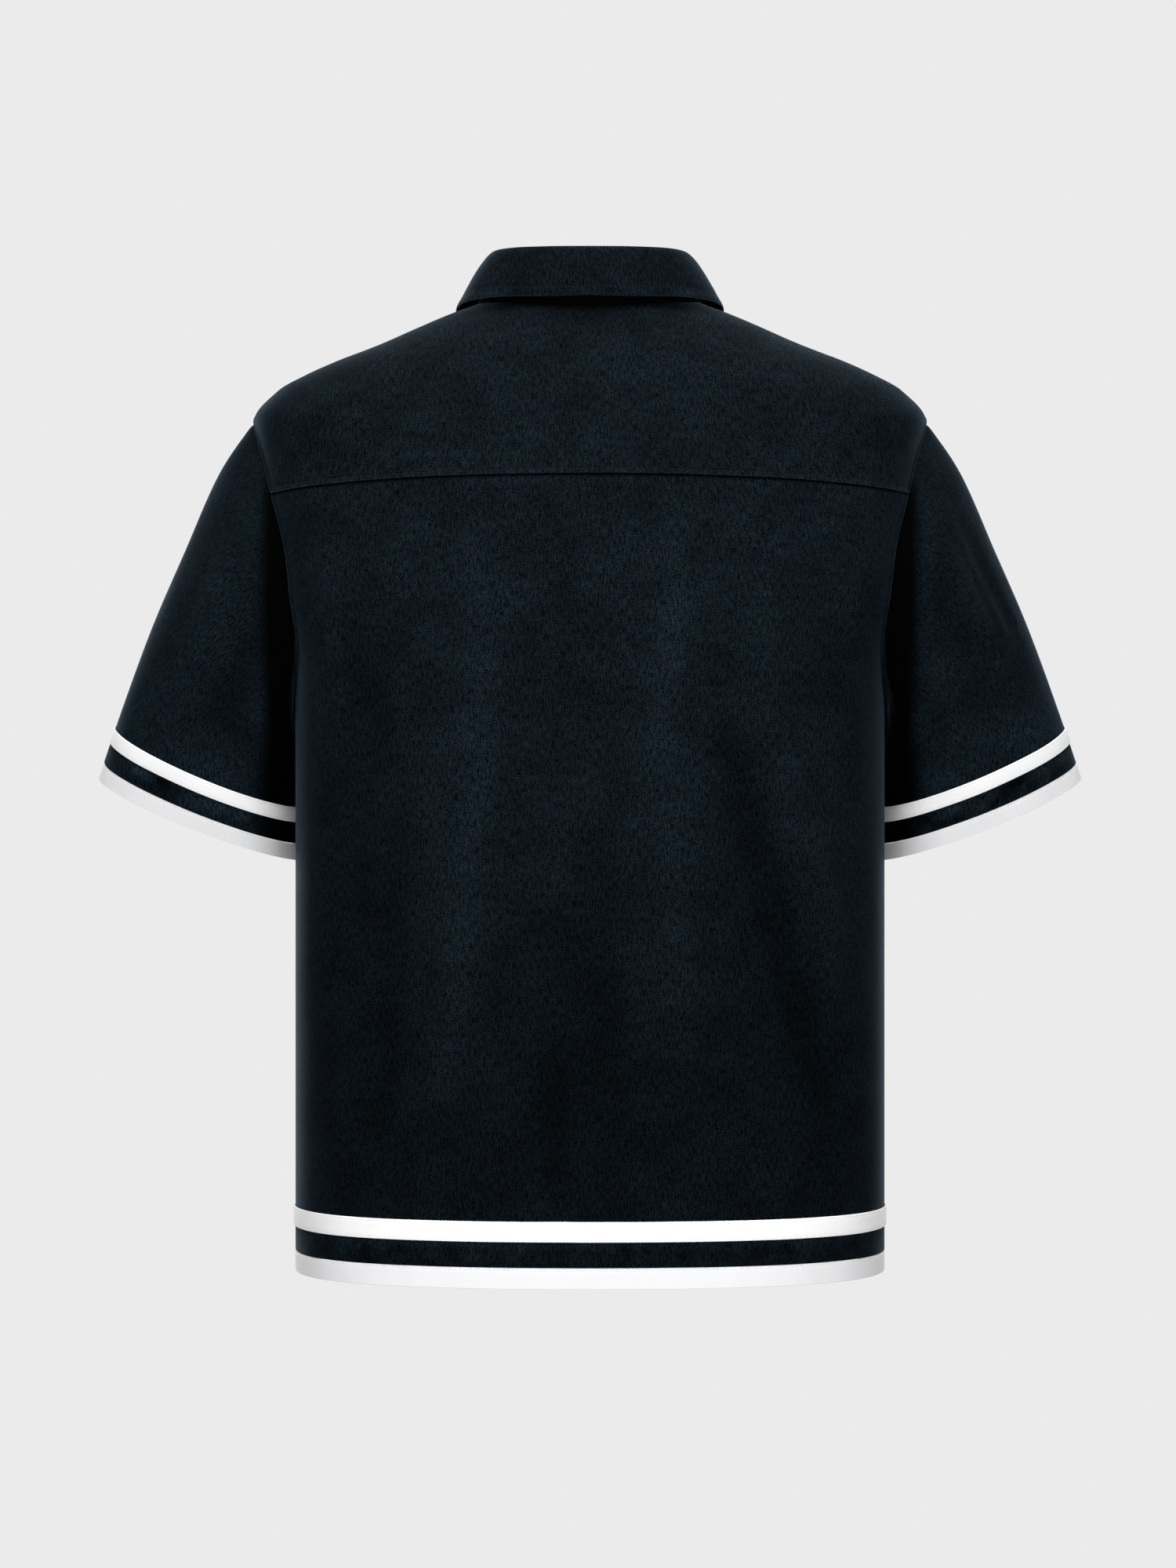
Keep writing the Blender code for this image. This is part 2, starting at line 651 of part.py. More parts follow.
# ---------------------------------------------------------------- buttons
def make_button(number, drop, placket, finish):
    """A flat button with four holes, face to the placket's outer side."""
    column = [(line[1] + line[2]) / 2 for line in placket]
    wanted = column[0].z - drop
    pair = next((a, b) for a, b in zip(column, column[1:]) if b.z <= wanted)
    spot = pair[0].lerp(pair[1], (pair[0].z - wanted) / (pair[0].z - pair[1].z))
    up = (pair[0] - pair[1]).normalized()
    outward = Vector((1, 0, 0)).cross(up).normalized()
    if outward.y > 0:
        outward.negate()
    turn = outward.to_track_quat("Z", "Y").to_euler()
    bpy.ops.mesh.primitive_cylinder_add(vertices=20, radius=BUTTON_RADIUS, depth=BUTTON_DEPTH)
    button = bpy.context.object
    button.name = f"button_{number}"
    button.data.materials.append(finish)
    button.location = spot + outward * (WALL + SEAM_GAP + BUTTON_DEPTH / 2)
    button.rotation_euler = turn
    home = button.users_collection[0]
    home.objects.unlink(button)
    bpy.data.collections["Polo shirt"].objects.link(button)
    for n in range(4):
        angle = math.radians(45 + 90 * n)
        offset = Vector((math.cos(angle), math.sin(angle), 0)) * BUTTON_HOLE_SPREAD
        bpy.ops.mesh.primitive_cylinder_add(vertices=6, radius=BUTTON_HOLE_RADIUS, depth=3 * BUTTON_DEPTH)
        cutter = bpy.context.object
        cutter.name = f"cutter_{number}_{n + 1}"
        cutter.parent = button
        cutter.location = offset
        cutter.hide_render = True
        cutter.display_type = "WIRE"
        cutter.users_collection[0].objects.unlink(cutter)
        bpy.data.collections["Cutters"].objects.link(cutter)
        hole = button.modifiers.new(f"Hole {n + 1}", "BOOLEAN")
        hole.object = cutter
    return button


def main():
    for obj in list(bpy.data.objects):
        bpy.data.objects.remove(obj)
    for name in ("Polo shirt", "Cutters"):
        bpy.context.scene.collection.children.link(bpy.data.collections.new(name))
    cloth = material("Navy cotton", NAVY, 0.85)
    tape = material("White tape", WHITE, 0.7)
    band = material("White edging", WHITE, 0.8)
    horn = material("Dark button", BUTTON_COLOUR, 0.4)
    make_back_panel(cloth)
    make_back_yoke(cloth)
    make_front_panel(cloth)
    placket = make_placket(cloth)
    make_hem(tape, band)
    make_sleeve("left", 1, cloth, tape, band)
    make_sleeve("right", -1, cloth, tape, band)
    make_stand(cloth)
    make_leaf(cloth)
    for number, drop in enumerate(BUTTON_DROPS, start=1):
        make_button(number, drop, placket, horn)


main()
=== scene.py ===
"""Boxy short-sleeved polo shirt in navy cotton with white tapes, filled out as when worn.

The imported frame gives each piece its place. Every cut piece of cloth is a fine sheet
shaped by the same tables as the frame's solids, with its seams, folds and stitches.
Metres, +Z up. The back faces +Y and the wearer's left is +X.
"""

import math
from types import SimpleNamespace

import bpy
import numpy as np
from bpy.props import FloatProperty, FloatVectorProperty, PointerProperty
from mathutils import Matrix, Vector
from mathutils.kdtree import KDTree


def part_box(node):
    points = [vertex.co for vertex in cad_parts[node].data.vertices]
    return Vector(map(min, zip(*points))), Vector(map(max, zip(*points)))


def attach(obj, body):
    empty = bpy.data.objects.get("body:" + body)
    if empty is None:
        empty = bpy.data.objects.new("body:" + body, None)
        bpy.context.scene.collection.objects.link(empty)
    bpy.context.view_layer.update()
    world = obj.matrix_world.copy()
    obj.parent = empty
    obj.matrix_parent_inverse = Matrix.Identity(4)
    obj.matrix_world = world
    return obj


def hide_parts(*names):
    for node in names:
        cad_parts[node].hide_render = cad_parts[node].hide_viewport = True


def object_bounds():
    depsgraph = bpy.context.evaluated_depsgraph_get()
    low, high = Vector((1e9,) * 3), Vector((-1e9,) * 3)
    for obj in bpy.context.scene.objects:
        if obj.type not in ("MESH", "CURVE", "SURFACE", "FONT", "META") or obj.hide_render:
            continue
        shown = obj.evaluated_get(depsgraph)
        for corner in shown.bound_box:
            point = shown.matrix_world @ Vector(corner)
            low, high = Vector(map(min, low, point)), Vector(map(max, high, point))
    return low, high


bl_info = {
    "name": "Polo shirt",
    "version": (1, 0, 0),
    "blender": (4, 5, 0),
    "location": "3D View > Sidebar > Polo shirt",
    "description": "Makes a short-sleeved polo shirt and a plain studio round it",
    "category": "Add Mesh",
}

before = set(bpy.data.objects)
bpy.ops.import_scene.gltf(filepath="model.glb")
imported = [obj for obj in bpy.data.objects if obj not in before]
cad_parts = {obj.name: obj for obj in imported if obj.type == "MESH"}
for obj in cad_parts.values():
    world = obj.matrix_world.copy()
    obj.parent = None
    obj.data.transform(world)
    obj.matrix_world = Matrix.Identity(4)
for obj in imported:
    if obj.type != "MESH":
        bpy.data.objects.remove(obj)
CAD_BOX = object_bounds()

# ---------------------------------------------------------------- sizes of the frame
WALL = 0.0012
TAPE_WALL = 0.0010
SEAM_GAP = 0.0003
EDGE = 0.00028

NECK = 0.0045
SHOULDER = -0.0770
YOKE_SEAM = -0.1325
UNDERARM = -0.2850
HEM = -0.6740
BAND_DEPTH = 0.0143
BLACK_DEPTH = 0.0176
TAPE_DEPTH = 0.0134
HEM_HEIGHTS = (
    HEM + BAND_DEPTH,
    HEM + BAND_DEPTH + BLACK_DEPTH,
    HEM + BAND_DEPTH + BLACK_DEPTH + TAPE_DEPTH,
)

ARMHOLE_BACK = math.radians(25)
ARMHOLE_FRONT = math.radians(31)
YOKE_FRONT = 0.028

CUFF_ZONE = 0.0395
CUFF_BAND = 0.0124
CUFF_BLACK = 0.0160
CUFF_TAPE = 0.0108

PLACKET_HALF = 0.016
SLIT_HALF = 0.006
BUTTON_RADIUS = 0.0056
BUTTON_DEPTH = 0.0024
BUTTON_HOLE_RADIUS = 0.0008
BUTTON_HOLE_SPREAD = 0.0013

# The body from neck to hem. Side height is the key: each row is one section round
# the body, which may rise or fall from the side to the middle of the back or front.
BODY_COLUMNS = ("side_z", "half_width", "back_y", "back_z", "front_y", "front_z", "square")
BODY_SECTIONS = (
    (0.0045, 0.0800, 0.0700, -0.0024, 0.0680, -0.0700, 0.000),
    (-0.0020, 0.0980, 0.0800, -0.0130, 0.0770, -0.0850, 0.000),
    (-0.0130, 0.1240, 0.0900, -0.0260, 0.0870, -0.1020, 0.000),
    (-0.0245, 0.1500, 0.0985, -0.0390, 0.0960, -0.1170, 0.005),
    (-0.0357, 0.1790, 0.1060, -0.0520, 0.1035, -0.1300, 0.008),
    (-0.0461, 0.2020, 0.1120, -0.0650, 0.1085, -0.1410, 0.010),
    (-0.0560, 0.2195, 0.1165, -0.0770, 0.1125, -0.1500, 0.013),
    (-0.0770, 0.2365, 0.1225, -0.0930, 0.1170, -0.1660, 0.018),
    (-0.1000, 0.2345, 0.1270, -0.1070, 0.1200, -0.1800, 0.025),
    (-0.1325, 0.2320, 0.1310, -0.1225, 0.1230, -0.1980, 0.038),
    (-0.1646, 0.2263, 0.1340, -0.1580, 0.1250, -0.2160, 0.045),
    (-0.1973, 0.2215, 0.1355, -0.1940, 0.1265, -0.2350, 0.045),
    (-0.2513, 0.2092, 0.1360, -0.2513, 0.1280, -0.2680, 0.040),
    (-0.2850, 0.2074, 0.1360, -0.2850, 0.1280, -0.2930, 0.035),
    (-0.3400, 0.2074, 0.1360, -0.3400, 0.1280, -0.3400, 0.030),
    (-0.6740, 0.2074, 0.1360, -0.6740, 0.1280, -0.6740, 0.030),
)

# Soft folds that run down the body: side, place at the top and at the foot (x, z),
# half-width, and how far the fold stands out, or in when negative.
FOLDS = (
    ("back", 0.080, -0.150, 0.107, -0.600, 0.042, 0.0050),
    ("back", -0.057, -0.150, -0.046, -0.540, 0.040, 0.0045),
    ("back", -0.130, -0.260, -0.175, -0.520, 0.034, 0.0035),
    ("back", 0.158, -0.160, 0.165, -0.520, 0.036, -0.0040),
    ("back", 0.018, -0.400, 0.012, -0.640, 0.040, -0.0040),
    ("back", -0.083, -0.280, -0.172, -0.610, 0.036, -0.0035),
    ("front", 0.098, -0.240, 0.120, -0.620, 0.040, 0.0045),
    ("front", -0.088, -0.250, -0.128, -0.600, 0.042, 0.0050),
    ("front", 0.046, -0.330, 0.032, -0.630, 0.036, -0.0040),
    ("front", -0.152, -0.260, -0.166, -0.560, 0.034, -0.0040),
)
# Finer creases over them, in the same columns.
CREASES = (
    ("back", 0.084, -0.140, 0.074, -0.380, 0.016, 0.0024),
    ("back", 0.072, -0.290, 0.108, -0.610, 0.018, 0.0024),
    ("back", -0.061, -0.135, -0.052, -0.330, 0.015, 0.0024),
    ("back", -0.047, -0.260, -0.064, -0.560, 0.020, 0.0020),
    ("back", 0.186, -0.140, 0.172, -0.330, 0.016, 0.0024),
    ("back", -0.112, -0.190, -0.168, -0.470, 0.018, 0.0022),
    ("back", -0.082, -0.250, -0.168, -0.590, 0.020, -0.0024),
    ("back", -0.128, -0.240, -0.160, -0.450, 0.015, -0.0018),
    ("back", 0.128, -0.330, 0.146, -0.630, 0.018, -0.0020),
    ("back", 0.030, -0.480, 0.020, -0.655, 0.016, -0.0018),
    ("back", -0.010, -0.420, -0.018, -0.650, 0.018, -0.0018),
    ("back", 0.020, -0.150, 0.006, -0.300, 0.018, -0.0012),
    ("front", 0.150, -0.130, 0.110, -0.420, 0.018, 0.0022),
    ("front", -0.146, -0.120, -0.104, -0.400, 0.018, 0.0024),
    ("front", 0.070, -0.150, 0.064, -0.460, 0.020, -0.0020),
    ("front", -0.062, -0.150, -0.050, -0.480, 0.020, -0.0020),
    ("front", 0.112, -0.380, 0.130, -0.640, 0.018, 0.0022),
    ("front", -0.020, -0.300, -0.034, -0.640, 0.022, -0.0022),
)
# Folds of a sleeve: side, turn and share of the way down at the top, the same at the
# foot, half-width in turns, lift.
SLEEVE_FOLDS = (
    ("left", 0.95, 0.10, 1.15, 0.72, 0.30, 0.0026),
    ("left", 1.70, 0.18, 1.55, 0.78, 0.26, -0.0026),
    ("left", 2.35, 0.02, 1.95, 0.60, 0.24, 0.0022),
    ("left", 4.60, 0.10, 4.80, 0.74, 0.32, 0.0026),
    ("left", 5.35, 0.20, 5.25, 0.78, 0.26, -0.0022),
    ("left", 3.95, 0.03, 4.25, 0.55, 0.24, 0.0020),
    ("left", 3.18, 0.04, 3.18, 0.92, 0.70, 0.0022),
    ("right", 0.92, 0.16, 0.98, 0.52, 0.17, 0.0020),
    ("right", 0.55, 0.10, 0.62, 0.60, 0.18, -0.0016),
    ("right", 1.20, 0.12, 1.25, 0.76, 0.28, -0.0024),
    ("right", 1.75, 0.20, 1.60, 0.78, 0.26, 0.0022),
    ("right", 2.40, 0.02, 2.05, 0.55, 0.22, 0.0020),
    ("right", 4.75, 0.10, 4.95, 0.72, 0.32, 0.0028),
    ("right", 5.50, 0.22, 5.40, 0.78, 0.24, -0.0022),
    ("right", 4.05, 0.03, 4.35, 0.55, 0.24, 0.0020),
    ("right", 3.18, 0.04, 3.18, 0.92, 0.70, 0.0022),
)

# The sleeve from the armhole to the cuff: highest and lowest point of each ring in
# the plane of the shoulders, how far it sits forward, its half-depth and its lean.
SLEEVE_COLUMNS = ("along", "top_x", "top_z", "under_x", "under_z", "forward", "half_depth", "lean")
SLEEVE_SECTIONS = (
    (0.00, 0.2368, -0.0775, 0.2078, -0.2852, 0.000, 0.055, 0.00),
    (0.14, 0.2611, -0.1117, 0.2092, -0.2960, 0.008, 0.060, 0.03),
    (0.32, 0.2870, -0.1670, 0.2074, -0.3110, 0.019, 0.060, 0.08),
    (0.54, 0.3117, -0.2220, 0.2062, -0.3245, 0.028, 0.058, 0.13),
    (0.80, 0.3386, -0.2920, 0.2046, -0.3475, 0.040, 0.054, 0.18),
    (1.00, 0.3518, -0.3276, 0.2004, -0.3858, 0.050, 0.052, 0.19),
)
ZONE_START = 0.80
FADE_END = 0.55

# The line where the collar stand ends and the leaf folds over, and the points of the
# body over which the leaf's free edge lies, this far above them.
FOLD_LINE = SimpleNamespace(
    half_width=0.0690, side_z=0.0375, back_y=0.0600, back_z=0.0356, front_y=0.0600, front_z=-0.0420
)
LEAF_COLUMNS = ("around", "body_angle", "body_height", "clear")
LEAF_EDGE = (
    (-84.0, -70.0, -0.0180, 0.0022),
    (-58.0, -50.0, -0.0100, 0.0022),
    (-30.0, -27.0, -0.0035, 0.0022),
    (0.0, 0.0, -0.0005, 0.0024),
    (45.0, 45.0, 0.0030, 0.0048),
    (90.0, 90.0, 0.0045, 0.0062),
)
LEAF_END = math.radians(-84)
SHADE_END = -73.5
LEAF_TRIM = 0.021
LEAF_LIFT = 0.0016
LEAF_ROLL = 0.0068
STAND_END = math.radians(-90)
BUTTON_LIFTS = (0.0005, 0.0002, 0.0001)
STAND_TUCK = 0.0016
TUCK = 0.0035

# ---------------------------------------------------------------- the fine mesh
STEP = 0.0031
NEAR_SEAM = (0.0, 0.0006, 0.0012, 0.0018, 0.0024, 0.0031, 0.0040, 0.0052, 0.0068, 0.0090)
SEAM_STITCH = 0.0029
LEAF_STITCH = 0.0066
TAPE_STITCH = 0.0014
PLACKET_STITCH = 0.0022
STAND_STITCH = 0.0014
TAPE_RIPPLE = 0.00012
HEM_RIPPLE = 0.00018
CUFF_RIPPLE = 0.00020

# Lengths along the cloth, which set how finely the grid of each sheet is divided.
RUN = SimpleNamespace(
    back_side=0.165, back_across=0.52, yoke_front=0.030, yoke_back=0.060, yoke_seam=0.42,
    yoke_down=0.125, front_neck=0.085, front_seam=0.16, front_side=0.185, placket=0.16,
    body=1.09, armhole_back=0.235, armhole_front=0.245, sleeve=0.22, cuff=0.028,
    stand=0.44, stand_up=0.04, leaf=0.52,
)
# The part of the panels that a sleeve's inner side hangs beside, and how near is beside.
BESIDE = SimpleNamespace(panel_x=0.16, top=-0.18, foot=-0.44, sleeve_x=0.222, reach=0.006)

LATTICE = 64
CONTRAST = 0.88  # how far the threads of the cloth are darker or paler than its colour
BACKDROP = 0.8308  # the scene-linear value of the photograph's plain grey
CAMERA_PLACE = (0.0014, 3.1, -0.333)
LIGHTS_AIM = (0, 0, -0.33)
# name, place, width and height, whose power, its share of that power
LIGHTS = (
    ("Overhead", (0, 0.9, 2.1), (2.6, 1.6), "overhead_power", 1.0),
    ("Front overhead", (0, -1.4, 2.0), (2.6, 1.2), "overhead_power", 0.45),
    ("Left softbox", (1.4, 3.0, -0.3), (1.4, 1.4), "front_power", 1.0),
    ("Right softbox", (-1.4, 3.0, -0.3), (1.4, 1.4), "front_power", 1.0),
    ("Left front softbox", (1.1, -3.0, -0.2), (1.4, 1.5), "front_power", 1.25),
    ("Right front softbox", (-0.9, -3.1, -0.3), (1.4, 1.4), "front_power", 0.95),
)


def mix(a, b, t):
    return a * (1 - t) + b * t


def ease(t):
    t = np.clip(t, 0.0, 1.0)
    return t * t * (3 - 2 * t)


def unit(vectors):
    return vectors / np.linalg.norm(vectors, axis=-1, keepdims=True)


def run_lengths(line):
    """How far along a line each of its points lies."""
    return np.append(0.0, np.cumsum(np.linalg.norm(np.diff(line, axis=0), axis=1)))


def soft_noise(x, y, seed):
    """Smooth uneven values from -1 to 1 with one bump or so for each unit of x and y."""
    lattice = np.random.default_rng(seed).uniform(-1, 1, (LATTICE, LATTICE))
    i, j = np.floor(x).astype(int), np.floor(y).astype(int)
    s, t = ease(x - i), ease(y - j)
    i_next, j_next = (i + 1) % LATTICE, (j + 1) % LATTICE
    i, j = i % LATTICE, j % LATTICE
    near = mix(lattice[i, j], lattice[i_next, j], s)
    far = mix(lattice[i, j_next], lattice[i_next, j_next], s)
    return mix(near, far, t)


class Smooth:
    """Rows of named columns, read in between along the first column with no overshoot."""

    def __init__(self, columns, rows):
        self.columns = columns
        self.rows = np.array(sorted(rows))
        self.keys = self.rows[:, 0]
        rises = np.diff(self.rows, axis=0) / np.diff(self.keys)[:, None]
        product, total = rises[:-1] * rises[1:], rises[:-1] + rises[1:]
        rising = product > 0
        inner = np.where(rising, 2 * product / np.where(rising, total, 1.0), 0.0)
        self.slopes = np.vstack([rises[:1], inner, rises[-1:]])

    def at(self, key):
        key = np.clip(key, self.keys[0], self.keys[-1])
        low = np.clip(np.searchsorted(self.keys, key, side="right") - 1, 0, len(self.keys) - 2)
        step = (self.keys[low + 1] - self.keys[low])[..., None]
        t = (key - self.keys[low])[..., None] / step
        found = (
            self.rows[low] * (1 + 2 * t) * (1 - t) ** 2
            + self.slopes[low] * step * t * (1 - t) ** 2
            + self.rows[low + 1] * t * t * (3 - 2 * t)
            + self.slopes[low + 1] * step * t * t * (t - 1)
        )
        return SimpleNamespace(**{name: found[..., c] for c, name in enumerate(self.columns)})


BODY = Smooth(BODY_COLUMNS, BODY_SECTIONS)
SLEEVE = Smooth(SLEEVE_COLUMNS, SLEEVE_SECTIONS)
LEAF = Smooth(LEAF_COLUMNS, LEAF_EDGE)


# ---------------------------------------------------------------- the body's surface
def smooth_body(angle, height):
    """Points of the body. Angle 0 is the wearer's left side and a quarter turn is the back."""
    angle, height = np.broadcast_arrays(np.asarray(angle, float), np.asarray(height, float))
    row = BODY.at(height)
    c, s = np.cos(angle), np.sin(angle)
    depth = np.where(s >= 0, row.back_y, row.front_y)
    level = np.where(s >= 0, row.back_z, row.front_z)
    x = row.half_width * (c - row.square * np.cos(3 * angle)) / (1 - row.square)
    y = depth * (s + row.square * np.sin(3 * angle)) / (1 - row.square)
    return np.stack([x, y, mix(height, level, s * s)], axis=-1)


def body_normal(angle, height):
    turn, rise = 0.01, 0.002
    around = smooth_body(angle + turn, height) - smooth_body(angle - turn, height)
    up = smooth_body(angle, height + rise) - smooth_body(angle, height - rise)
    return unit(np.cross(around, up))


def folded(points, folds):
    """How far the cloth of the body stands out with the folds of one table."""
    x, y, z = points[..., 0], points[..., 1], points[..., 2]
    total = np.zeros(x.shape)
    for side, top_x, top_z, foot_x, foot_z, half_width, lift in folds:
        down = (top_z - z) / (top_z - foot_z)
        across = np.clip((x - mix(top_x, foot_x, down)) / half_width, -1, 1)
        shape = ease(down / 0.3) * ease((1 - down) / 0.3) * np.cos(across * math.pi / 2) ** 2
        total += np.where((y >= 0) == (side == "back"), lift * shape, 0.0)
    return total


def hem_puckers(points):
    """Soft bumps, from -1 to 1, of the cloth that two seams draw in between the hem's tapes."""
    x, y, z = points[..., 0], points[..., 1], points[..., 2]
    between = ease((HEM_HEIGHTS[1] - z) / 0.004) * ease((z - HEM_HEIGHTS[0]) / 0.004)
    return between * soft_noise(x / 0.0062 + np.where(y >= 0, 5.2, 31.6), z / 0.010, 14)


def fold_lift(points):
    """How far the folds, the small unevenness and the side seams move the body's cloth."""
    x, y, z = points[..., 0], points[..., 1], points[..., 2]
    total = folded(points, FOLDS + CREASES)
    seed = np.where(y >= 0, 3.7, 19.3)
    uneven = 0.00045 * soft_noise(x / 0.034 + seed, z / 0.070 + seed, 4)
    uneven += 0.00022 * soft_noise(x / 0.017 + seed, z / 0.024 + seed, 5)
    uneven += 0.00050 * hem_puckers(points)
    total += uneven * ease((np.abs(y) - 0.004) / 0.03)
    below = ease((UNDERARM - z) / 0.02)
    return total - below * 0.0009 * np.exp(-((y / 0.0026) ** 2))


def painted_body_light(points):
    """Painted light on the body's cloth: painted highlights on the crests of its folds and hem
    puckers and painted shade in their troughs, painted shade over the shoulders and a painted
    highlight band below them, painted shade that darkens it towards the hem, a painted highlight
    just below the hem tape, and painted shade along the sides below the arms.
    """
    broad, fine = folded(points, FOLDS), folded(points, CREASES)
    z = points[..., 2]
    folds = 1 + 0.26 * np.tanh(broad / 0.0035) + 0.28 * np.tanh(fine / 0.0018)
    folds = folds + 0.5 * hem_puckers(points)
    shoulders = 1 - 0.06 * ease((z + 0.14) / 0.05) * ease((np.abs(points[..., 0]) - 0.06) / 0.10)
    shoulders = shoulders + 0.12 * ridge(z, -0.19, 0.06)
    lower = 1 - 0.34 * ease((-0.30 - z) / 0.28)
    below_tape = 1 + ease((HEM_HEIGHTS[2] - z) / 0.006) * ridge(z, HEM_HEIGHTS[1] - 0.001, 0.0035)
    below_arm = ease((UNDERARM + 0.03 - z) / 0.05)
    sides = 1 - 0.40 * ridge(np.abs(points[..., 0]), 0.2015, 0.0065) * below_arm
    return folds * shoulders * lower * below_tape * sides


def body(angle, height, out=0.0):
    points, normals = smooth_body(angle, height), body_normal(angle, height)
    return points + normals * (fold_lift(points) + out)[..., None]


def armhole_angle(height, front=False):
    """Where the armhole's edge lies at this height, turned from the side."""
    down = np.clip((SHOULDER - np.asarray(height, float)) / (SHOULDER - UNDERARM), 0, 1)
    widest = ARMHOLE_FRONT if front else ARMHOLE_BACK
    return widest * np.maximum(np.sin(math.pi * down), 0.0) ** 0.6


def even_heights(start, end, shares, front=False):
    """Heights at these shares of the length of a stretch of the armhole."""
    heights = mix(start, end, (1 - np.cos(np.linspace(0, math.pi, 500))) / 2)
    angle = armhole_angle(heights, front)
    points = smooth_body(-angle if front else angle, heights)
    lengths = run_lengths(points)
    return np.interp(np.asarray(shares) * lengths[-1], lengths, heights)


def yoke_front_angle(height):
    return YOKE_FRONT / BODY.at(np.asarray(height, float)).front_y


def yoke_corner():
    """The height where the yoke's front seam meets the armhole."""
    low, high = SHOULDER - 0.05, SHOULDER - 0.0005
    for _ in range(50):
        middle = (low + high) / 2
        if armhole_angle(middle, front=True) > yoke_front_angle(middle):
            low = middle
        else:
            high = middle
    return high


CORNER = yoke_corner()


def spaced(length, first=False, last=False, step=STEP):
    """Shares from 0 to 1 of a length, one step apart and closer at the ends that are seams."""
    near = np.array(NEAR_SEAM) / length
    start = near if first else near[:1]
    end = 1 - (near if last else near[:1])[::-1]
    count = max(2, int(round((end[0] - start[-1]) * length / step)))
    middle = np.linspace(start[-1], end[0], count + 1)[1:-1]
    return np.concatenate([start, middle, end])


def placket_angle(height, across):
    """The angle, turned from the side, at which the front lies this far from its middle."""
    row = BODY.at(np.asarray(height, float))
    width = row.half_width * (1 + 3 * row.square) / (1 - row.square)
    return math.pi / 2 - np.arcsin(across / width)


# Straight grain: along the cloth round a low section, and down the middle of the back.
GRAIN_ANGLES = np.linspace(-1.5 * math.pi, 1.5 * math.pi, 600)
GRAIN_AROUND = run_lengths(smooth_body(GRAIN_ANGLES, HEM))
GRAIN_HEIGHTS = np.linspace(HEM, NECK, 300)
GRAIN_DOWN = run_lengths(smooth_body(math.pi / 2, GRAIN_HEIGHTS))


def grain(angle, height):
    """Metres across and along the straight grain at these points of the body."""
    angle, height = np.broadcast_arrays(angle, height)
    width = BODY.at(height).half_width / BODY.at(np.array(HEM)).half_width
    back = np.interp(math.pi / 2, GRAIN_ANGLES, GRAIN_AROUND)
    across = (np.interp(angle, GRAIN_ANGLES, GRAIN_AROUND) - back) * width
    return np.stack([across, np.interp(height, GRAIN_HEIGHTS, GRAIN_DOWN)], axis=-1)


def metres(points):
    """Metres across and along a strip, measured on its own grid."""
    across = np.linalg.norm(np.diff(points, axis=1), axis=2)
    along = np.linalg.norm(np.diff(points, axis=0), axis=2)
    u = np.concatenate([np.zeros((len(points), 1)), np.cumsum(across, axis=1)], axis=1)
    v = np.concatenate([np.zeros((1, points.shape[1])), np.cumsum(along, axis=0)], axis=0)
    return np.stack([u - u[:, -1:] / 2, -v], axis=-1)


def collar_shade(angle, height):
    """The cloth of the body lies in deep shade under the collar leaf's free edge."""
    place = np.arcsin(np.sin(angle))
    rim_angles = [SHADE_END] + [row[1] for row in LEAF_EDGE]
    edge = np.interp(np.degrees(place), rim_angles, [NECK] + [row[2] for row in LEAF_EDGE])
    reach = 0.0034 * (1 - ease(2 * np.sin(place) - 1)) * ease((np.degrees(place) - SHADE_END) / 12)
    return mix(0.03, 1.0, ease((edge - height + 0.0002 - reach) / 0.0024))


def grid_normals(points):
    """The way each point of a grid of points faces."""
    across, along = np.gradient(points, axis=1), np.gradient(points, axis=0)
    return unit(np.cross(across, along))


def faced(normals, points, inside):
    """The same normals, all turned away from a place inside."""
    facing = ((points - np.array(inside)) * normals).sum()
    return normals if facing > 0 else -normals


def from_edge(points, edge):
    """How far along the cloth each point lies from one edge of its grid."""
    axis = 1 if edge in ("left", "right") else 0
    steps = np.linalg.norm(np.diff(points, axis=axis), axis=2)
    zero = np.zeros_like(steps[:, :1] if axis else steps[:1])
    lengths = np.concatenate([zero, np.cumsum(steps, axis=axis)], axis=axis)
    if edge in ("left", "first"):
        return lengths
    return (lengths[:, -1:] if axis else lengths[-1:]) - lengths


def ridge(distance, place, width):
    return np.exp(-(((distance - place) / width) ** 2))


def lap(distance, stitch=SEAM_STITCH):
    """The upper edge of a lapped seam: a low ridge, and a groove where it is stitched."""
    return 0.0007 * ridge(distance, 0.0006, 0.0022) - 0.00035 * ridge(distance, stitch, 0.0008)


def wash_and_edge_highlight(distance, strength=0.3):
    """A painted highlight along an edge or seam of the cloth."""
    return 1 + strength * ridge(distance, 0.0006, 0.0010)


def edge_highlights(points, *edges):
    """Painted highlights along several edges of one grid."""
    return math.prod(wash_and_edge_highlight(from_edge(points, edge)) for edge in edges)


def under(distance):
    """The lower edge of a lapped seam dips below the other piece."""
    return -0.0011 * ridge(distance, 0.0, 0.0026)


def tucked(points, normals, uv, painted_light, reach=TUCK, depth=None):
    """One more row at the start of a grid, which runs on under the piece sewn over it."""
    depth = WALL + 0.0006 if depth is None else depth
    reach, depth = np.broadcast_to(reach, points.shape[1]), np.broadcast_to(depth, points.shape[1])
    line = points[0] + unit(points[0] - points[1]) * reach[:, None] - normals[0] * depth[:, None]
    steps = reach / np.linalg.norm(points[0] - points[1], axis=-1)
    beyond = uv[0] + (uv[0] - uv[1]) * steps[:, None]
    return (
        np.concatenate([line[None], points]),
        np.concatenate([normals[:1], normals]),
        np.concatenate([beyond[None], uv]),
        np.concatenate([painted_light[:1], painted_light]),
    )


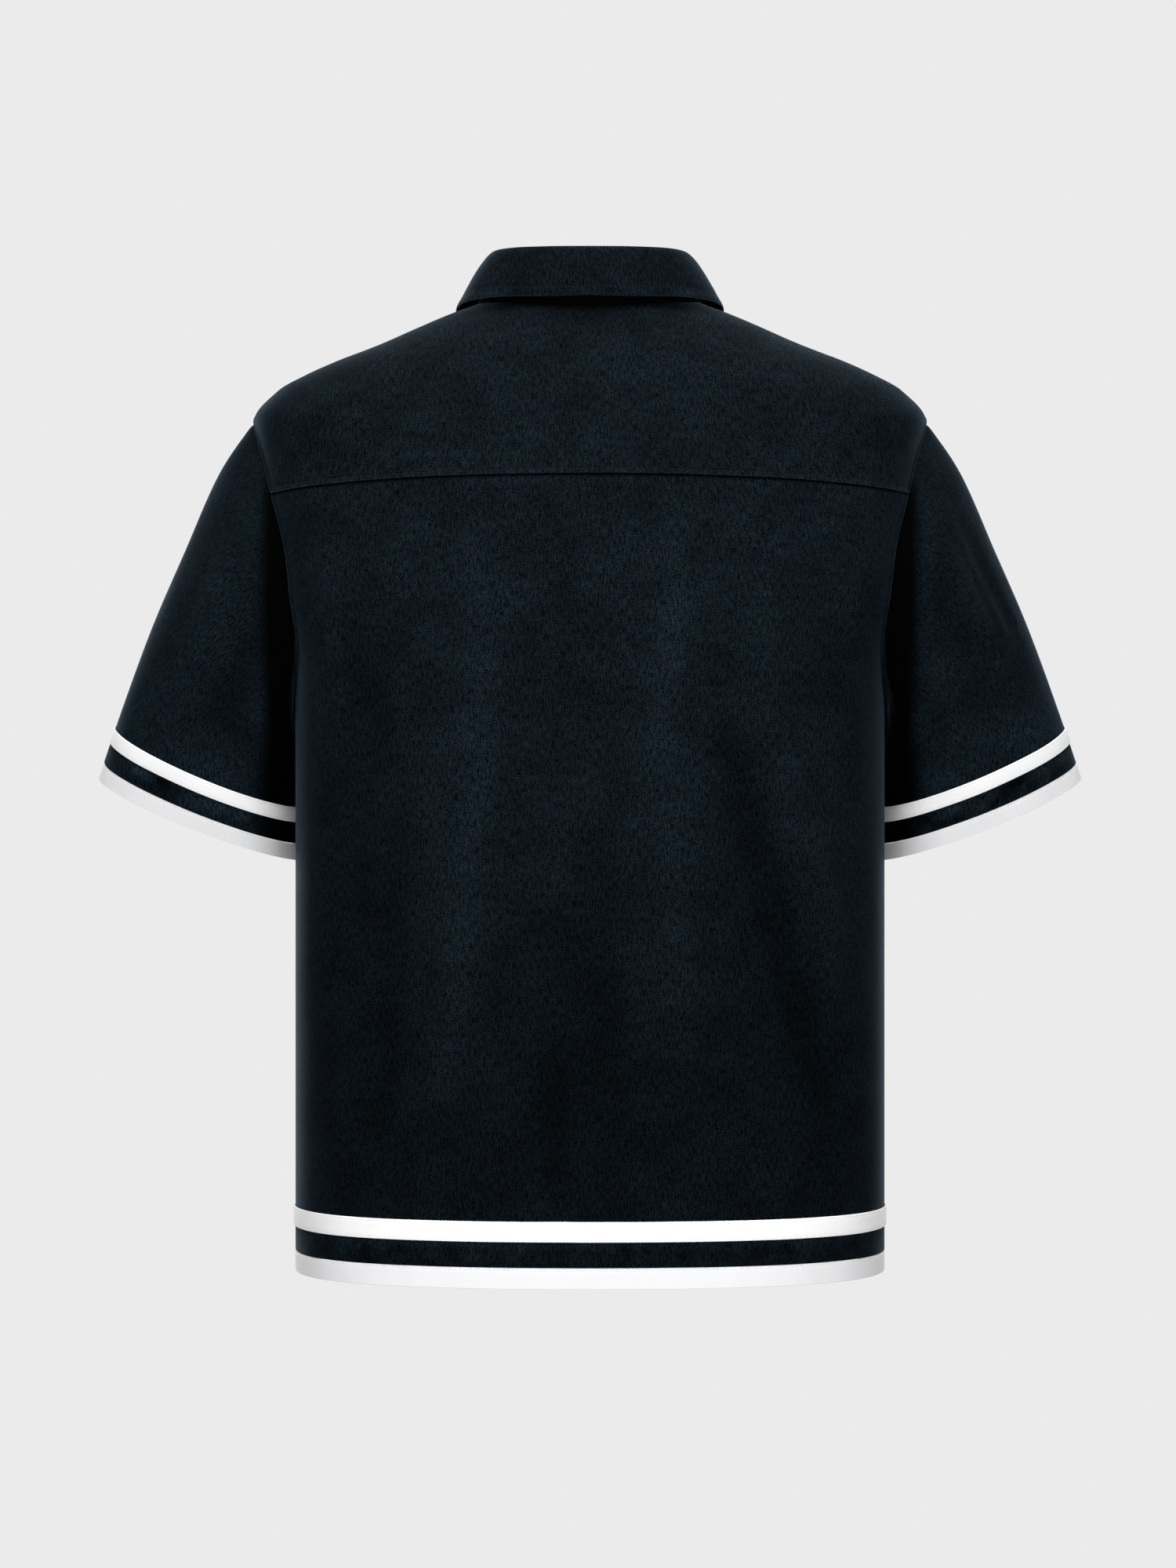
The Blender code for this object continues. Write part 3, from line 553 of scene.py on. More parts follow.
def line_at(points, normals, edge, distance):
    """The line of points and normals that runs along an edge, this far in from it."""
    lengths = from_edge(points, edge)
    if edge in ("left", "right"):
        lengths, points, normals = lengths.T, points.swapaxes(0, 1), normals.swapaxes(0, 1)
    if edge in ("last", "right"):
        lengths, points, normals = lengths[::-1], points[::-1], normals[::-1]
    columns = np.arange(points.shape[1])
    high = np.clip((lengths < distance).sum(axis=0), 1, len(lengths) - 1)
    low = high - 1
    span = lengths[high, columns] - lengths[low, columns]
    t = np.clip((distance - lengths[low, columns]) / span, 0, 1)[:, None]
    line = mix(points[low, columns], points[high, columns], t)
    return line, unit(mix(normals[low, columns], normals[high, columns], t))


# ---------------------------------------------------------------- making sheets
def deselect():
    if bpy.context.mode != "OBJECT":
        bpy.ops.object.mode_set(mode="OBJECT")
    bpy.ops.object.select_all(action="DESELECT")


def make_active(obj):
    deselect()
    obj.select_set(True)
    bpy.context.view_layer.objects.active = obj


def apply_modifier(obj, kind, **values):
    make_active(obj)
    modifier = obj.modifiers.new(kind.title(), kind)
    for name, value in values.items():
        setattr(modifier, name, value)
    bpy.ops.object.modifier_apply(modifier=modifier.name)


def edit_faces(obj, chosen):
    """Go into edit mode with these faces selected and no others."""
    make_active(obj)
    obj.data.polygons.foreach_set("select", chosen)
    bpy.ops.object.mode_set(mode="EDIT")
    bpy.ops.mesh.select_mode(type="FACE")
    bpy.ops.object.mode_set(mode="OBJECT")
    obj.data.polygons.foreach_set("select", chosen)
    bpy.ops.object.mode_set(mode="EDIT")


def cloth_sheet(
    name, points, normals, uv, finish, wall,
    outward=False, ring=False, cut_out=None, rounded=False, painted_light=1.0,
):
    """A sheet of cloth on a grid of points, with a wall on the side away from its face.

    Painted light multiplies the cloth's colour: painted shade below 1, painted highlights above 1,
    and 0 is black.
    """
    rows, columns = points.shape[0] - 1, points.shape[1] - 1
    deselect()
    bpy.ops.mesh.primitive_grid_add(x_subdivisions=columns, y_subdivisions=rows, size=1)
    obj = bpy.context.object
    obj.name = obj.data.name = name
    mesh = obj.data
    mesh.vertices.foreach_set("co", points.reshape(-1).astype(np.float32))
    corners = np.empty(len(mesh.loops), np.int32)
    mesh.loops.foreach_get("vertex_index", corners)
    uv_map = mesh.uv_layers.active or mesh.uv_layers.new(name="UVMap")
    uv_map.data.foreach_set("uv", uv.reshape(-1, 2)[corners].astype(np.float32).reshape(-1))
    shade = mesh.attributes.new("painted_light", "FLOAT", "POINT")
    tones = np.broadcast_to(painted_light, points.shape[:2]).reshape(-1)
    shade.data.foreach_set("value", tones.astype(np.float32))
    mesh.update()
    if (grid_normals(points) * normals).sum() < 0:
        mesh.flip_normals()
    if cut_out is not None:
        gone = np.zeros((rows, columns), bool)
        gone[cut_out] = True
        edit_faces(obj, gone.reshape(-1))
        bpy.ops.mesh.delete(type="FACE")
        bpy.ops.object.mode_set(mode="OBJECT")
    if ring:
        make_active(obj)
        bpy.ops.object.mode_set(mode="EDIT")
        bpy.ops.mesh.select_all(action="SELECT")
        bpy.ops.mesh.remove_doubles(threshold=1e-6)
        bpy.ops.object.mode_set(mode="OBJECT")
    side = 1 if outward else -1
    apply_modifier(obj, "SOLIDIFY", thickness=wall, offset=side, use_even_offset=True)
    if rounded:
        apply_modifier(
            obj, "BEVEL", width=wall * 0.3, segments=2,
            limit_method="ANGLE", angle_limit=math.radians(60),
        )
    obj.data.materials.append(finish)
    make_active(obj)
    bpy.ops.object.shade_smooth_by_angle(angle=math.radians(50))
    return obj


def declare(piece, node):
    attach(piece, "root")
    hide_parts(node)


MADE = {}  # the grid of points and normals of each sheet


def keep_sheet(name, points, normals):
    MADE[name] = SimpleNamespace(points=points, normals=normals)


# ---------------------------------------------------------------- stitches
def stitch_shape():
    """One stitch of unit length along X, modelled once: its ends dip into the cloth."""
    deselect()
    bpy.ops.mesh.primitive_cylinder_add(vertices=5, radius=1, depth=1, rotation=(0, math.pi / 2, 0))
    obj = bpy.context.object
    bpy.ops.object.transform_apply(location=False, rotation=True, scale=False)
    bpy.ops.object.mode_set(mode="EDIT")
    for place in (-0.27, 0.27):
        bpy.ops.mesh.select_all(action="SELECT")
        bpy.ops.mesh.bisect(plane_co=(place, 0, 0), plane_no=(1, 0, 0))
    bpy.ops.object.mode_set(mode="OBJECT")
    points = np.array([vertex.co[:] for vertex in obj.data.vertices])
    faces = [tuple(face.vertices) for face in obj.data.polygons]
    ends = np.abs(points[:, 0]) > 0.4
    points[ends, 1:] *= 0.55
    points[ends, 2] -= 0.9
    bpy.data.objects.remove(obj)
    return points, faces


def stitch_spots(line, normals, length, gap):
    """Middles, directions and normals of the stitches along one line of points."""
    lengths = run_lengths(line)
    count = int(lengths[-1] / (length + gap))
    middles = (np.arange(count) + 0.5) * lengths[-1] / count

    def read(rows, shift=0.0):
        places = middles + shift
        return np.stack([np.interp(places, lengths, rows[:, n]) for n in range(3)], axis=-1)

    ahead, behind = read(line, length / 4), read(line, -length / 4)
    return read(line), unit(ahead - behind), unit(read(normals))


def sew(name, spots, length, radius, finish, raised):
    """One mesh of all the stitches at these spots."""
    shape, faces = stitch_shape()
    middles, ahead, facing = (np.concatenate(parts) for parts in zip(*spots))
    side = unit(np.cross(facing, ahead))
    facing = np.cross(ahead, side)
    rng = np.random.default_rng(len(middles))
    lean = rng.uniform(-0.10, 0.10, (len(middles), 1))
    ahead, side = unit(ahead + side * lean), unit(side - ahead * lean)
    points = (
        (middles + facing * raised)[:, None, :]
        + ahead[:, None, :] * shape[None, :, 0:1] * length
        + side[:, None, :] * shape[None, :, 1:2] * radius
        + facing[:, None, :] * shape[None, :, 2:3] * radius * 0.8
    )
    count = len(shape)
    every = [tuple(v + n * count for v in face) for n in range(len(middles)) for face in faces]
    mesh = bpy.data.meshes.new(name)
    mesh.from_pydata(points.reshape(-1, 3).tolist(), [], every)
    mesh.validate()
    mesh.shade_smooth()
    mesh.materials.append(finish)
    obj = bpy.data.objects.new(name, mesh)
    bpy.context.scene.collection.objects.link(obj)
    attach(obj, "root")


# ---------------------------------------------------------------- material helpers
def group_socket(group, name, kind, out=False, default=None):
    socket = group.interface.new_socket(
        name=name, in_out="OUTPUT" if out else "INPUT", socket_type=f"NodeSocket{kind}"
    )
    if default is not None:
        socket.default_value = default


def add_node(tree, kind, place, **values):
    made = tree.nodes.new(kind)
    made.location = (place[0] * 200, -place[1] * 180)
    for name, value in values.items():
        setattr(made, name, value)
    return made


def math_node(tree, operation, place, first, second=None, third=None):
    made = add_node(tree, "ShaderNodeMath", place, operation=operation)
    for number, value in enumerate((first, second, third)):
        if value is None:
            continue
        if isinstance(value, (int, float)):
            made.inputs[number].default_value = value
        else:
            tree.links.new(value, made.inputs[number])
    return made.outputs[0]


def noise_node(tree, place, vector, scale, detail=2.0, roughness=0.5):
    made = add_node(tree, "ShaderNodeTexNoise", place)
    made.inputs["Scale"].default_value = scale
    made.inputs["Detail"].default_value = detail
    made.inputs["Roughness"].default_value = roughness
    tree.links.new(vector, made.inputs["Vector"])
    return made.outputs["Fac"]


def map_range(tree, place, value, low, high, to_low=0.0, to_high=1.0):
    made = add_node(tree, "ShaderNodeMapRange", place, interpolation_type="SMOOTHSTEP")
    limits = {"From Min": low, "From Max": high, "To Min": to_low, "To Max": to_high}
    for name, number in limits.items():
        made.inputs[name].default_value = number
    tree.links.new(value, made.inputs["Value"])
    return made.outputs["Result"]


def mix_colour(tree, place, factor, first, second, blend="MIX"):
    made = add_node(tree, "ShaderNodeMix", place, data_type="RGBA", blend_type=blend)
    for number, value in ((0, factor), (6, first), (7, second)):
        socket = made.inputs[number]
        if isinstance(value, bpy.types.NodeSocket):
            tree.links.new(value, socket)
        elif isinstance(value, (int, float)):
            socket.default_value = value
        else:
            socket.default_value = (*value, 1)
    return made.outputs[2]


def twill_group():
    """Warp lines, a fine diagonal and thread speckle, from metres on the cloth."""
    group = bpy.data.node_groups.new("Cotton twill", "ShaderNodeTree")
    group_socket(group, "Cloth", "Vector")
    group_socket(group, "Lines per metre", "Float", default=820.0)
    group_socket(group, "Height", "Float", out=True)
    group_socket(group, "Shade", "Float", out=True)
    into = add_node(group, "NodeGroupInput", (0, 0))
    split = add_node(group, "ShaderNodeSeparateXYZ", (1, 0))
    group.links.new(into.outputs["Cloth"], split.inputs[0])
    lines = into.outputs["Lines per metre"]
    across = math_node(group, "MULTIPLY", (2, 0), split.outputs[0], lines)
    along = math_node(group, "MULTIPLY", (2, 1), split.outputs[1], lines)
    slow = math_node(group, "MULTIPLY", (3, 1), along, 0.17)
    streak = add_node(group, "ShaderNodeCombineXYZ", (4, 0))
    group.links.new(across, streak.inputs[0])
    group.links.new(slow, streak.inputs[1])
    warp = noise_node(group, (5, 0), streak.outputs[0], 1.2, 2.0, 0.7)
    both = add_node(group, "ShaderNodeCombineXYZ", (4, 2))
    group.links.new(across, both.inputs[0])
    group.links.new(along, both.inputs[1])
    speckle = noise_node(group, (5, 2), both.outputs[0], 1.25, 2.0, 0.8)
    wide = add_node(group, "ShaderNodeCombineXYZ", (4, 6))
    group.links.new(math_node(group, "MULTIPLY", (3, 6), across, 0.42), wide.inputs[0])
    group.links.new(math_node(group, "MULTIPLY", (3, 7), along, 0.26), wide.inputs[1])
    slub = noise_node(group, (5, 6), wide.outputs[0], 1.0, 2.0, 0.6)
    lean = math_node(group, "MULTIPLY_ADD", (4, 3), along, 0.62, across)
    wave = math_node(group, "SINE", (5, 3), math_node(group, "MULTIPLY", (5, 4), lean, 2 * math.pi))
    diagonal = math_node(group, "MULTIPLY_ADD", (6, 3), wave, 0.5, 0.5)
    slanted = math_node(group, "MULTIPLY", (7, 2), diagonal, 0.30)
    height = math_node(group, "MULTIPLY_ADD", (7, 1), warp, 0.55, slanted)
    height = math_node(group, "MULTIPLY_ADD", (8, 1), speckle, 0.30, height)
    streaked = math_node(group, "MULTIPLY", (6, 5), warp, 0.34)
    shade = math_node(group, "MULTIPLY_ADD", (7, 4), speckle, 0.52, streaked)
    shade = math_node(group, "MULTIPLY_ADD", (8, 4), slub, 0.14, shade)
    out = add_node(group, "NodeGroupOutput", (9, 1))
    group.links.new(height, out.inputs["Height"])
    group.links.new(shade, out.inputs["Shade"])
    return group


def mottle_group():
    """Slow uneven fading, as washing leaves it, and a sparse pale lint."""
    group = bpy.data.node_groups.new("Washed mottle", "ShaderNodeTree")
    group_socket(group, "Place", "Vector")
    group_socket(group, "Size", "Float", default=34.0)
    group_socket(group, "Mottle", "Float", out=True)
    group_socket(group, "Lint", "Float", out=True)
    into = add_node(group, "NodeGroupInput", (0, 0))
    scaled = add_node(group, "ShaderNodeVectorMath", (1, 0), operation="SCALE")
    group.links.new(into.outputs["Place"], scaled.inputs[0])
    group.links.new(into.outputs["Size"], scaled.inputs["Scale"])
    slow = noise_node(group, (2, 0), scaled.outputs[0], 1.0, 3.0, 0.55)
    lint = noise_node(group, (2, 1), scaled.outputs[0], 26.0, 2.0, 0.6)
    out = add_node(group, "NodeGroupOutput", (4, 0))
    group.links.new(map_range(group, (3, 0), slow, 0.30, 0.70), out.inputs["Mottle"])
    group.links.new(map_range(group, (3, 1), lint, 0.60, 0.78), out.inputs["Lint"])
    return group


def rib_group():
    """The cross ribs of a woven tape, uneven along its length."""
    group = bpy.data.node_groups.new("Tape rib", "ShaderNodeTree")
    group_socket(group, "Cloth", "Vector")
    group_socket(group, "Ribs per metre", "Float", default=900.0)
    group_socket(group, "Height", "Float", out=True)
    group_socket(group, "Shade", "Float", out=True)
    into = add_node(group, "NodeGroupInput", (0, 0))
    split = add_node(group, "ShaderNodeSeparateXYZ", (1, 0))
    group.links.new(into.outputs["Cloth"], split.inputs[0])
    lines = math_node(group, "MULTIPLY", (2, 0), split.outputs[0], into.outputs["Ribs per metre"])
    turns = math_node(group, "MULTIPLY", (3, 1), lines, 2 * math.pi)
    wave = math_node(group, "SINE", (3, 0), turns)
    rib = math_node(group, "MULTIPLY_ADD", (4, 0), wave, 0.5, 0.5)
    uneven = noise_node(group, (3, 2), into.outputs["Cloth"], 260.0, 3.0, 0.6)
    rough = math_node(group, "MULTIPLY", (5, 1), uneven, 0.4)
    height = math_node(group, "MULTIPLY_ADD", (5, 0), rib, 0.6, rough)
    out = add_node(group, "NodeGroupOutput", (6, 0))
    group.links.new(height, out.inputs["Height"])
    group.links.new(uneven, out.inputs["Shade"])
    return group


def scaled_colour(colour, factor):
    return tuple(channel * factor for channel in colour)


def new_material(name):
    made = bpy.data.materials.new(name)
    made.use_nodes = True
    tree = made.node_tree
    return made, tree, tree.nodes["Principled BSDF"]


def placed_group(tree, group, place, **values):
    made = add_node(tree, "ShaderNodeGroup", place, node_tree=group)
    for name, value in values.items():
        socket = made.inputs[name.replace("_", " ")]
        if isinstance(value, bpy.types.NodeSocket):
            tree.links.new(value, socket)
        else:
            socket.default_value = value
    return made


def bumped(tree, shader, height, strength, distance):
    bump = add_node(tree, "ShaderNodeBump", (5, 4))
    bump.inputs["Strength"].default_value = strength
    bump.inputs["Distance"].default_value = distance
    tree.links.new(height, bump.inputs["Height"])
    tree.links.new(bump.outputs[0], shader.inputs["Normal"])


def wire(tree, shader, base, rough, specular):
    tree.links.new(base, shader.inputs["Base Color"])
    tree.links.new(rough, shader.inputs["Roughness"])
    shader.inputs["Specular IOR Level"].default_value = specular


def cloth_material(name, colour, sheen, groups):
    made, tree, shader = new_material(name)
    where = add_node(tree, "ShaderNodeTexCoord", (-1, 1))
    twill = placed_group(tree, groups["twill"], (0, 0), Cloth=where.outputs["UV"])
    wash = placed_group(tree, groups["mottle"], (0, 2), Place=where.outputs["Object"])
    shade = map_range(tree, (1, 0), twill.outputs["Shade"], 0.43, 0.57)
    dark, light = scaled_colour(colour, 1 - CONTRAST), scaled_colour(colour, 1 + CONTRAST)
    base = mix_colour(tree, (2, 0), shade, dark, light)
    # Slow washed mottle, paler and darker at random.
    wash_and_edge_highlight = mix_colour(tree, (2, 1), wash.outputs["Mottle"], (0.80, 0.80, 0.80), (1.25, 1.25, 1.25))
    base = mix_colour(tree, (3, 0), 1.0, base, wash_and_edge_highlight, blend="MULTIPLY")
    lint = math_node(tree, "MULTIPLY", (3, 2), wash.outputs["Lint"], 0.12)
    base = mix_colour(tree, (4, 0), lint, base, (0.07, 0.095, 0.115))
    # Painted shade and painted highlights carried on the mesh multiply the colour.
    painted_light = add_node(tree, "ShaderNodeAttribute", (4, 1), attribute_name="painted_light")
    base = mix_colour(tree, (5, 0), 1.0, base, painted_light.outputs["Fac"], blend="MULTIPLY")
    rough = map_range(tree, (4, 2), twill.outputs["Shade"], 0.3, 0.7, 0.92, 0.80)
    wire(tree, shader, base, rough, 0.02)
    shader.inputs["Sheen Weight"].default_value = sheen
    shader.inputs["Sheen Roughness"].default_value = 0.24
    shader.inputs["Sheen Tint"].default_value = (0.50, 0.76, 1.0, 1)
    bumped(tree, shader, twill.outputs["Height"], 0.55, 0.0005)
    return made


def tape_material(name, colour, groups, ribs, depth):
    made, tree, shader = new_material(name)
    where = add_node(tree, "ShaderNodeTexCoord", (-1, 1))
    rib = placed_group(tree, groups["rib"], (0, 0), Cloth=where.outputs["UV"], Ribs_per_metre=ribs)
    wash = placed_group(tree, groups["mottle"], (0, 2), Place=where.outputs["Object"], Size=60.0)
    base = mix_colour(tree, (1, 0), rib.outputs["Shade"], scaled_colour(colour, 0.975), colour)
    base = mix_colour(tree, (2, 0), wash.outputs["Mottle"], scaled_colour(colour, 0.985), base)
    rough = map_range(tree, (2, 2), rib.outputs["Height"], 0.2, 0.9, 0.78, 0.62)
    wire(tree, shader, base, rough, 0.3)
    shader.inputs["Sheen Weight"].default_value = 0.1
    bumped(tree, shader, rib.outputs["Height"], 0.35, depth)
    return made


def thread_material(name, colour):
    made, tree, shader = new_material(name)
    where = add_node(tree, "ShaderNodeTexCoord", (-1, 0))
    ply = noise_node(tree, (0, 0), where.outputs["Object"], 2600.0, 2.0, 0.6)
    base = mix_colour(tree, (1, 0), ply, scaled_colour(colour, 0.75), scaled_colour(colour, 1.2))
    rough = map_range(tree, (1, 1), ply, 0.3, 0.7, 0.78, 0.6)
    wire(tree, shader, base, rough, 0.12)
    bumped(tree, shader, ply, 0.4, 0.0001)
    return made


def button_material(name, colour):
    made, tree, shader = new_material(name)
    where = add_node(tree, "ShaderNodeTexCoord", (-1, 0))
    cloud = noise_node(tree, (0, 0), where.outputs["Object"], 420.0, 4.0, 0.6)
    base = mix_colour(tree, (1, 0), cloud, scaled_colour(colour, 0.7), scaled_colour(colour, 1.7))
    rough = map_range(tree, (1, 1), cloud, 0.3, 0.7, 0.46, 0.62)
    wire(tree, shader, base, rough, 0.16)
    return made


# ---------------------------------------------------------------- settings
class ShirtSettings(bpy.types.PropertyGroup):
    """Sizes and colours of the cloth, tapes, threads and buttons."""

    cloth_colour: FloatVectorProperty(
        name="Cloth", description="Colour of the cotton", subtype="COLOR", size=3, min=0, max=1,
        default=(0.0031, 0.0056, 0.0080),
    )
    cloth_sheen: FloatProperty(
        name="Cloth fuzz", description="Pale fuzz at grazing angles", subtype="FACTOR",
        min=0, max=1, default=0.18,
    )
    tape_colour: FloatVectorProperty(
        name="Tape", description="Colour of the laid-on tapes", subtype="COLOR", size=3,
        min=0, max=1, default=(0.93, 0.93, 0.935),
    )
    edging_colour: FloatVectorProperty(
        name="Edging", description="Colour of the folded edging", subtype="COLOR", size=3,
        min=0, max=1, default=(0.79, 0.79, 0.805),
    )
    button_colour: FloatVectorProperty(
        name="Buttons", description="Colour of the buttons", subtype="COLOR", size=3, min=0, max=1,
        default=(0.008, 0.0095, 0.012),
    )
    stitch_length: FloatProperty(
        name="Stitch length", description="Length of one stitch", unit="LENGTH",
        min=0.0005, max=0.01, default=0.0020,
    )
    stitch_gap: FloatProperty(
        name="Stitch gap", description="Gap between stitches", unit="LENGTH",
        min=0.0001, max=0.01, default=0.0006,
    )
    thread_radius: FloatProperty(
        name="Thread radius", description="Half the thread's width", unit="LENGTH",
        min=0.00005, max=0.001, default=0.00021,
    )


class StudioSettings(bpy.types.PropertyGroup):
    """The lights and the camera."""

    focal_length: FloatProperty(
        name="Focal length", description="Focal length of the camera", unit="CAMERA",
        min=10, max=300, default=100.9,
    )
    fill: FloatProperty(
        name="Fill", description="Light from all round", min=0, max=2, default=0.24
    )
    overhead_power: FloatProperty(
        name="Overhead", description="Power of the softbox over the shirt", unit="POWER",
        min=0, max=500, default=72,
    )
    front_power: FloatProperty(
        name="Softboxes", description="Power of each softbox beside the camera", unit="POWER",
        min=0, max=500, default=48,
    )
    floor_drop: FloatProperty(
        name="Floor", description="How far the floor lies below the hem", unit="LENGTH",
        min=0.05, max=2, default=0.36,
    )


def finishes(settings):
    """The shirt's materials, made once."""
    if "Navy twill" in bpy.data.materials:
        return {key: bpy.data.materials[name] for key, name in FINISH_NAMES.items()}
    groups = {"twill": twill_group(), "mottle": mottle_group(), "rib": rib_group()}
    cloth = tuple(settings.cloth_colour)
    cloth_material("Navy twill", cloth, settings.cloth_sheen, groups)
    tape_material("White tape", tuple(settings.tape_colour), groups, 900.0, 0.0003)
    tape_material("White edging", tuple(settings.edging_colour), groups, 620.0, 0.0004)
    thread_material("Navy thread", scaled_colour(cloth, 1.9))
    thread_material("White thread", (0.80, 0.80, 0.81))
    button_material("Dark button", tuple(settings.button_colour))
    return {key: bpy.data.materials[name] for key, name in FINISH_NAMES.items()}


FINISH_NAMES = {
    "cloth": "Navy twill",
    "tape": "White tape",
    "edging": "White edging",
    "dark_thread": "Navy thread",
    "white_thread": "White thread",
    "button": "Dark button",
}


# ---------------------------------------------------------------- body pieces
LOWER_SHARES = spaced(UNDERARM - HEM_HEIGHTS[0])
LOWER_HEIGHTS = mix(UNDERARM, HEM_HEIGHTS[0], LOWER_SHARES[1:])


def shaped(points, normals, *steps):
    """Points moved along their normals by each edge's profile."""
    out = sum(profile(from_edge(points, edge)) for edge, profile in steps)
    return points + normals * out[..., None]


def rim(distance):
    """The back of an armhole seam: the panel's edge stands up a little over the sleeve."""
    return 0.0008 * ridge(distance, 0.0009, 0.0024)


def make_back_panel(finish):
    top = even_heights(YOKE_SEAM, UNDERARM, spaced(RUN.back_side, first=True))
    heights = np.concatenate([top, LOWER_HEIGHTS])[:, None]
    shares = spaced(RUN.back_across, first=True, last=True)[None, :]
    edge = armhole_angle(heights)
    angles = mix(edge, math.pi - edge, shares)
    points, normals = body(angles, heights), body_normal(angles, heights)
    above = ease((heights[:, 0] - UNDERARM) / 0.02)[:, None]
    points = shaped(points, normals, ("first", under))
    left, right = from_edge(points, "left"), from_edge(points, "right")
    points += normals * (above * (rim(left) + rim(right)))[..., None]
    # Painted highlight along the raised armhole edges, and a painted shadow just below the yoke's
    # lapped seam.
    painted_light = painted_body_light(points) * (1 + above * (wash_and_edge_highlight(np.minimum(left, right), 0.4) - 1))
    painted_light *= 1 - 0.9 * ridge(from_edge(points, "first"), 0, 0.0022)
    grid = tucked(points, normals, grain(angles, heights), painted_light, depth=WALL + 0.0002)
    obj = cloth_sheet("back_panel_cloth", *grid[:3], finish["cloth"], WALL, painted_light=grid[3])
    keep_sheet("back_panel", points, normals)
    declare(obj, "back_panel")


def yoke_rims():
    """(angle, height) round the yoke: its neckline, then the armholes and seam that face it."""
    front_end, seam_edge = -yoke_front_angle(NECK), armhole_angle(YOKE_SEAM)
    corner_at_neck = math.radians(38)
    front = spaced(RUN.yoke_front, first=True)[:-1]
    back = spaced(RUN.yoke_back)[:-1]
    seam = spaced(RUN.yoke_seam)
    seam = seam[seam <= 0.5]
    if seam[-1] < 0.5:
        seam = np.append(seam, 0.5)
    front_heights = even_heights(CORNER, SHOULDER, front, front=True)
    back_heights = even_heights(SHOULDER, YOKE_SEAM, back)
    along_neck = mix(corner_at_neck, math.pi - corner_at_neck, seam)
    along_seam = mix(seam_edge, math.pi - seam_edge, seam)
    neckline = [mix(front_end, 0.0, front), mix(0.0, corner_at_neck, back), along_neck]
    angle = [-armhole_angle(front_heights, front=True), armhole_angle(back_heights), along_seam]
    neckline, angle = np.concatenate(neckline), np.concatenate(angle)
    height = np.concatenate([front_heights, back_heights, np.full(len(seam), YOKE_SEAM)])
    sewn = np.concatenate([np.zeros(len(front) + len(back)), np.ones(len(seam))])

    def mirrored(values, turned=False):
        other = values[:-1][::-1]
        return np.concatenate([values, math.pi - other if turned else other])

    return mirrored(neckline, True), mirrored(angle, True), mirrored(height), mirrored(sewn)


def make_back_yoke(finish):
    neckline, angle, height, sewn = yoke_rims()
    shares = spaced(RUN.yoke_down, last=True)[:, None]
    angles, heights = mix(neckline, angle, shares), mix(NECK, height, shares)
    points, normals = body(angles, heights), body_normal(angles, heights)
    low = from_edge(points, "last")
    profile = np.where(sewn > 0.5, lap(low), rim(low))
    points = points + normals * profile[..., None]
    points = shaped(points, normals, ("left", lap), ("right", lap))
    # Painted highlights along the yoke's seam and armhole edges, and painted shadow under the
    # collar at the middle of the back.
    painted_light = painted_body_light(points) * wash_and_edge_highlight(low) * edge_highlights(points, "left", "right")
    painted_light *= 1 - 0.62 * ridge(np.hypot(points[..., 0] / 4.0, points[..., 1] - 0.072), 0, 0.009)
    painted_light *= collar_shade(angles, heights)
    uv = grain(angles, heights)
    obj = cloth_sheet("back_yoke_cloth", points, normals, uv, finish["cloth"], WALL, painted_light=painted_light)
    keep_sheet("back_yoke", points, normals)
    MADE["back_yoke"].sewn = sewn > 0.5
    declare(obj, "back_yoke")


def front_half():
    """Turns from the side and heights of half of the front, from its middle outwards."""
    neckline_share = 4 / 9
    slit = np.array([0.0, 0.003, SLIT_HALF, 0.0085, 0.011, 0.0135])
    neck_part = spaced(RUN.front_neck) * neckline_share
    seam_part = neckline_share + spaced(RUN.front_seam, last=True) * (1 - neckline_share)
    share = np.concatenate([neck_part, seam_part[1:]])[None, :]
    downs = spaced(RUN.front_side, first=True)
    t = (1 - downs)[:, None]
    heights = even_heights(CORNER, UNDERARM, downs, front=True)[:, None]
    middle = mix(UNDERARM, NECK, t)
    end = yoke_front_angle(NECK)
    corner_turn = armhole_angle(CORNER, front=True)
    beyond = np.clip((share - neckline_share) / (1 - neckline_share), 0, 1)
    top_turn = np.where(
        share <= neckline_share,
        mix(placket_angle(NECK, PLACKET_HALF), end, share / neckline_share),
        mix(end, corner_turn, beyond),
    )
    top_height = mix(NECK, CORNER, beyond)
    low_turn = mix(placket_angle(UNDERARM, PLACKET_HALF), 0.0, share)
    edge_turn = armhole_angle(heights, front=True) - mix(0.0, corner_turn, t)
    placket_turn = placket_angle(middle, PLACKET_HALF) - mix(
        placket_angle(UNDERARM, PLACKET_HALF), placket_angle(NECK, PLACKET_HALF), t
    )
    edge_height = heights - mix(UNDERARM, CORNER, t)
    turns = mix(low_turn, top_turn, t) + mix(placket_turn, edge_turn, share)
    levels = mix(UNDERARM, top_height, t) + edge_height * share
    turns = np.concatenate([placket_angle(middle, slit[None, :]), turns], axis=1)
    levels = np.concatenate([np.repeat(middle, len(slit), axis=1), levels], axis=1)
    lower = LOWER_HEIGHTS[:, None]
    outer = mix(placket_angle(lower, PLACKET_HALF), 0.0, share)
    low = np.concatenate([placket_angle(lower, slit[None, :]), outer], axis=1)
    low_levels = np.repeat(lower, low.shape[1], axis=1)
    return np.concatenate([turns, low]), np.concatenate([levels, low_levels])


def placket_foot():
    """The side height whose middle of the front lies at the foot of the frame's placket."""
    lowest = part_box("placket_upper")[0].z
    heights = np.linspace(NECK, UNDERARM, 400)
    return np.interp(-lowest, -smooth_body(-math.pi / 2, heights)[:, 2], heights)


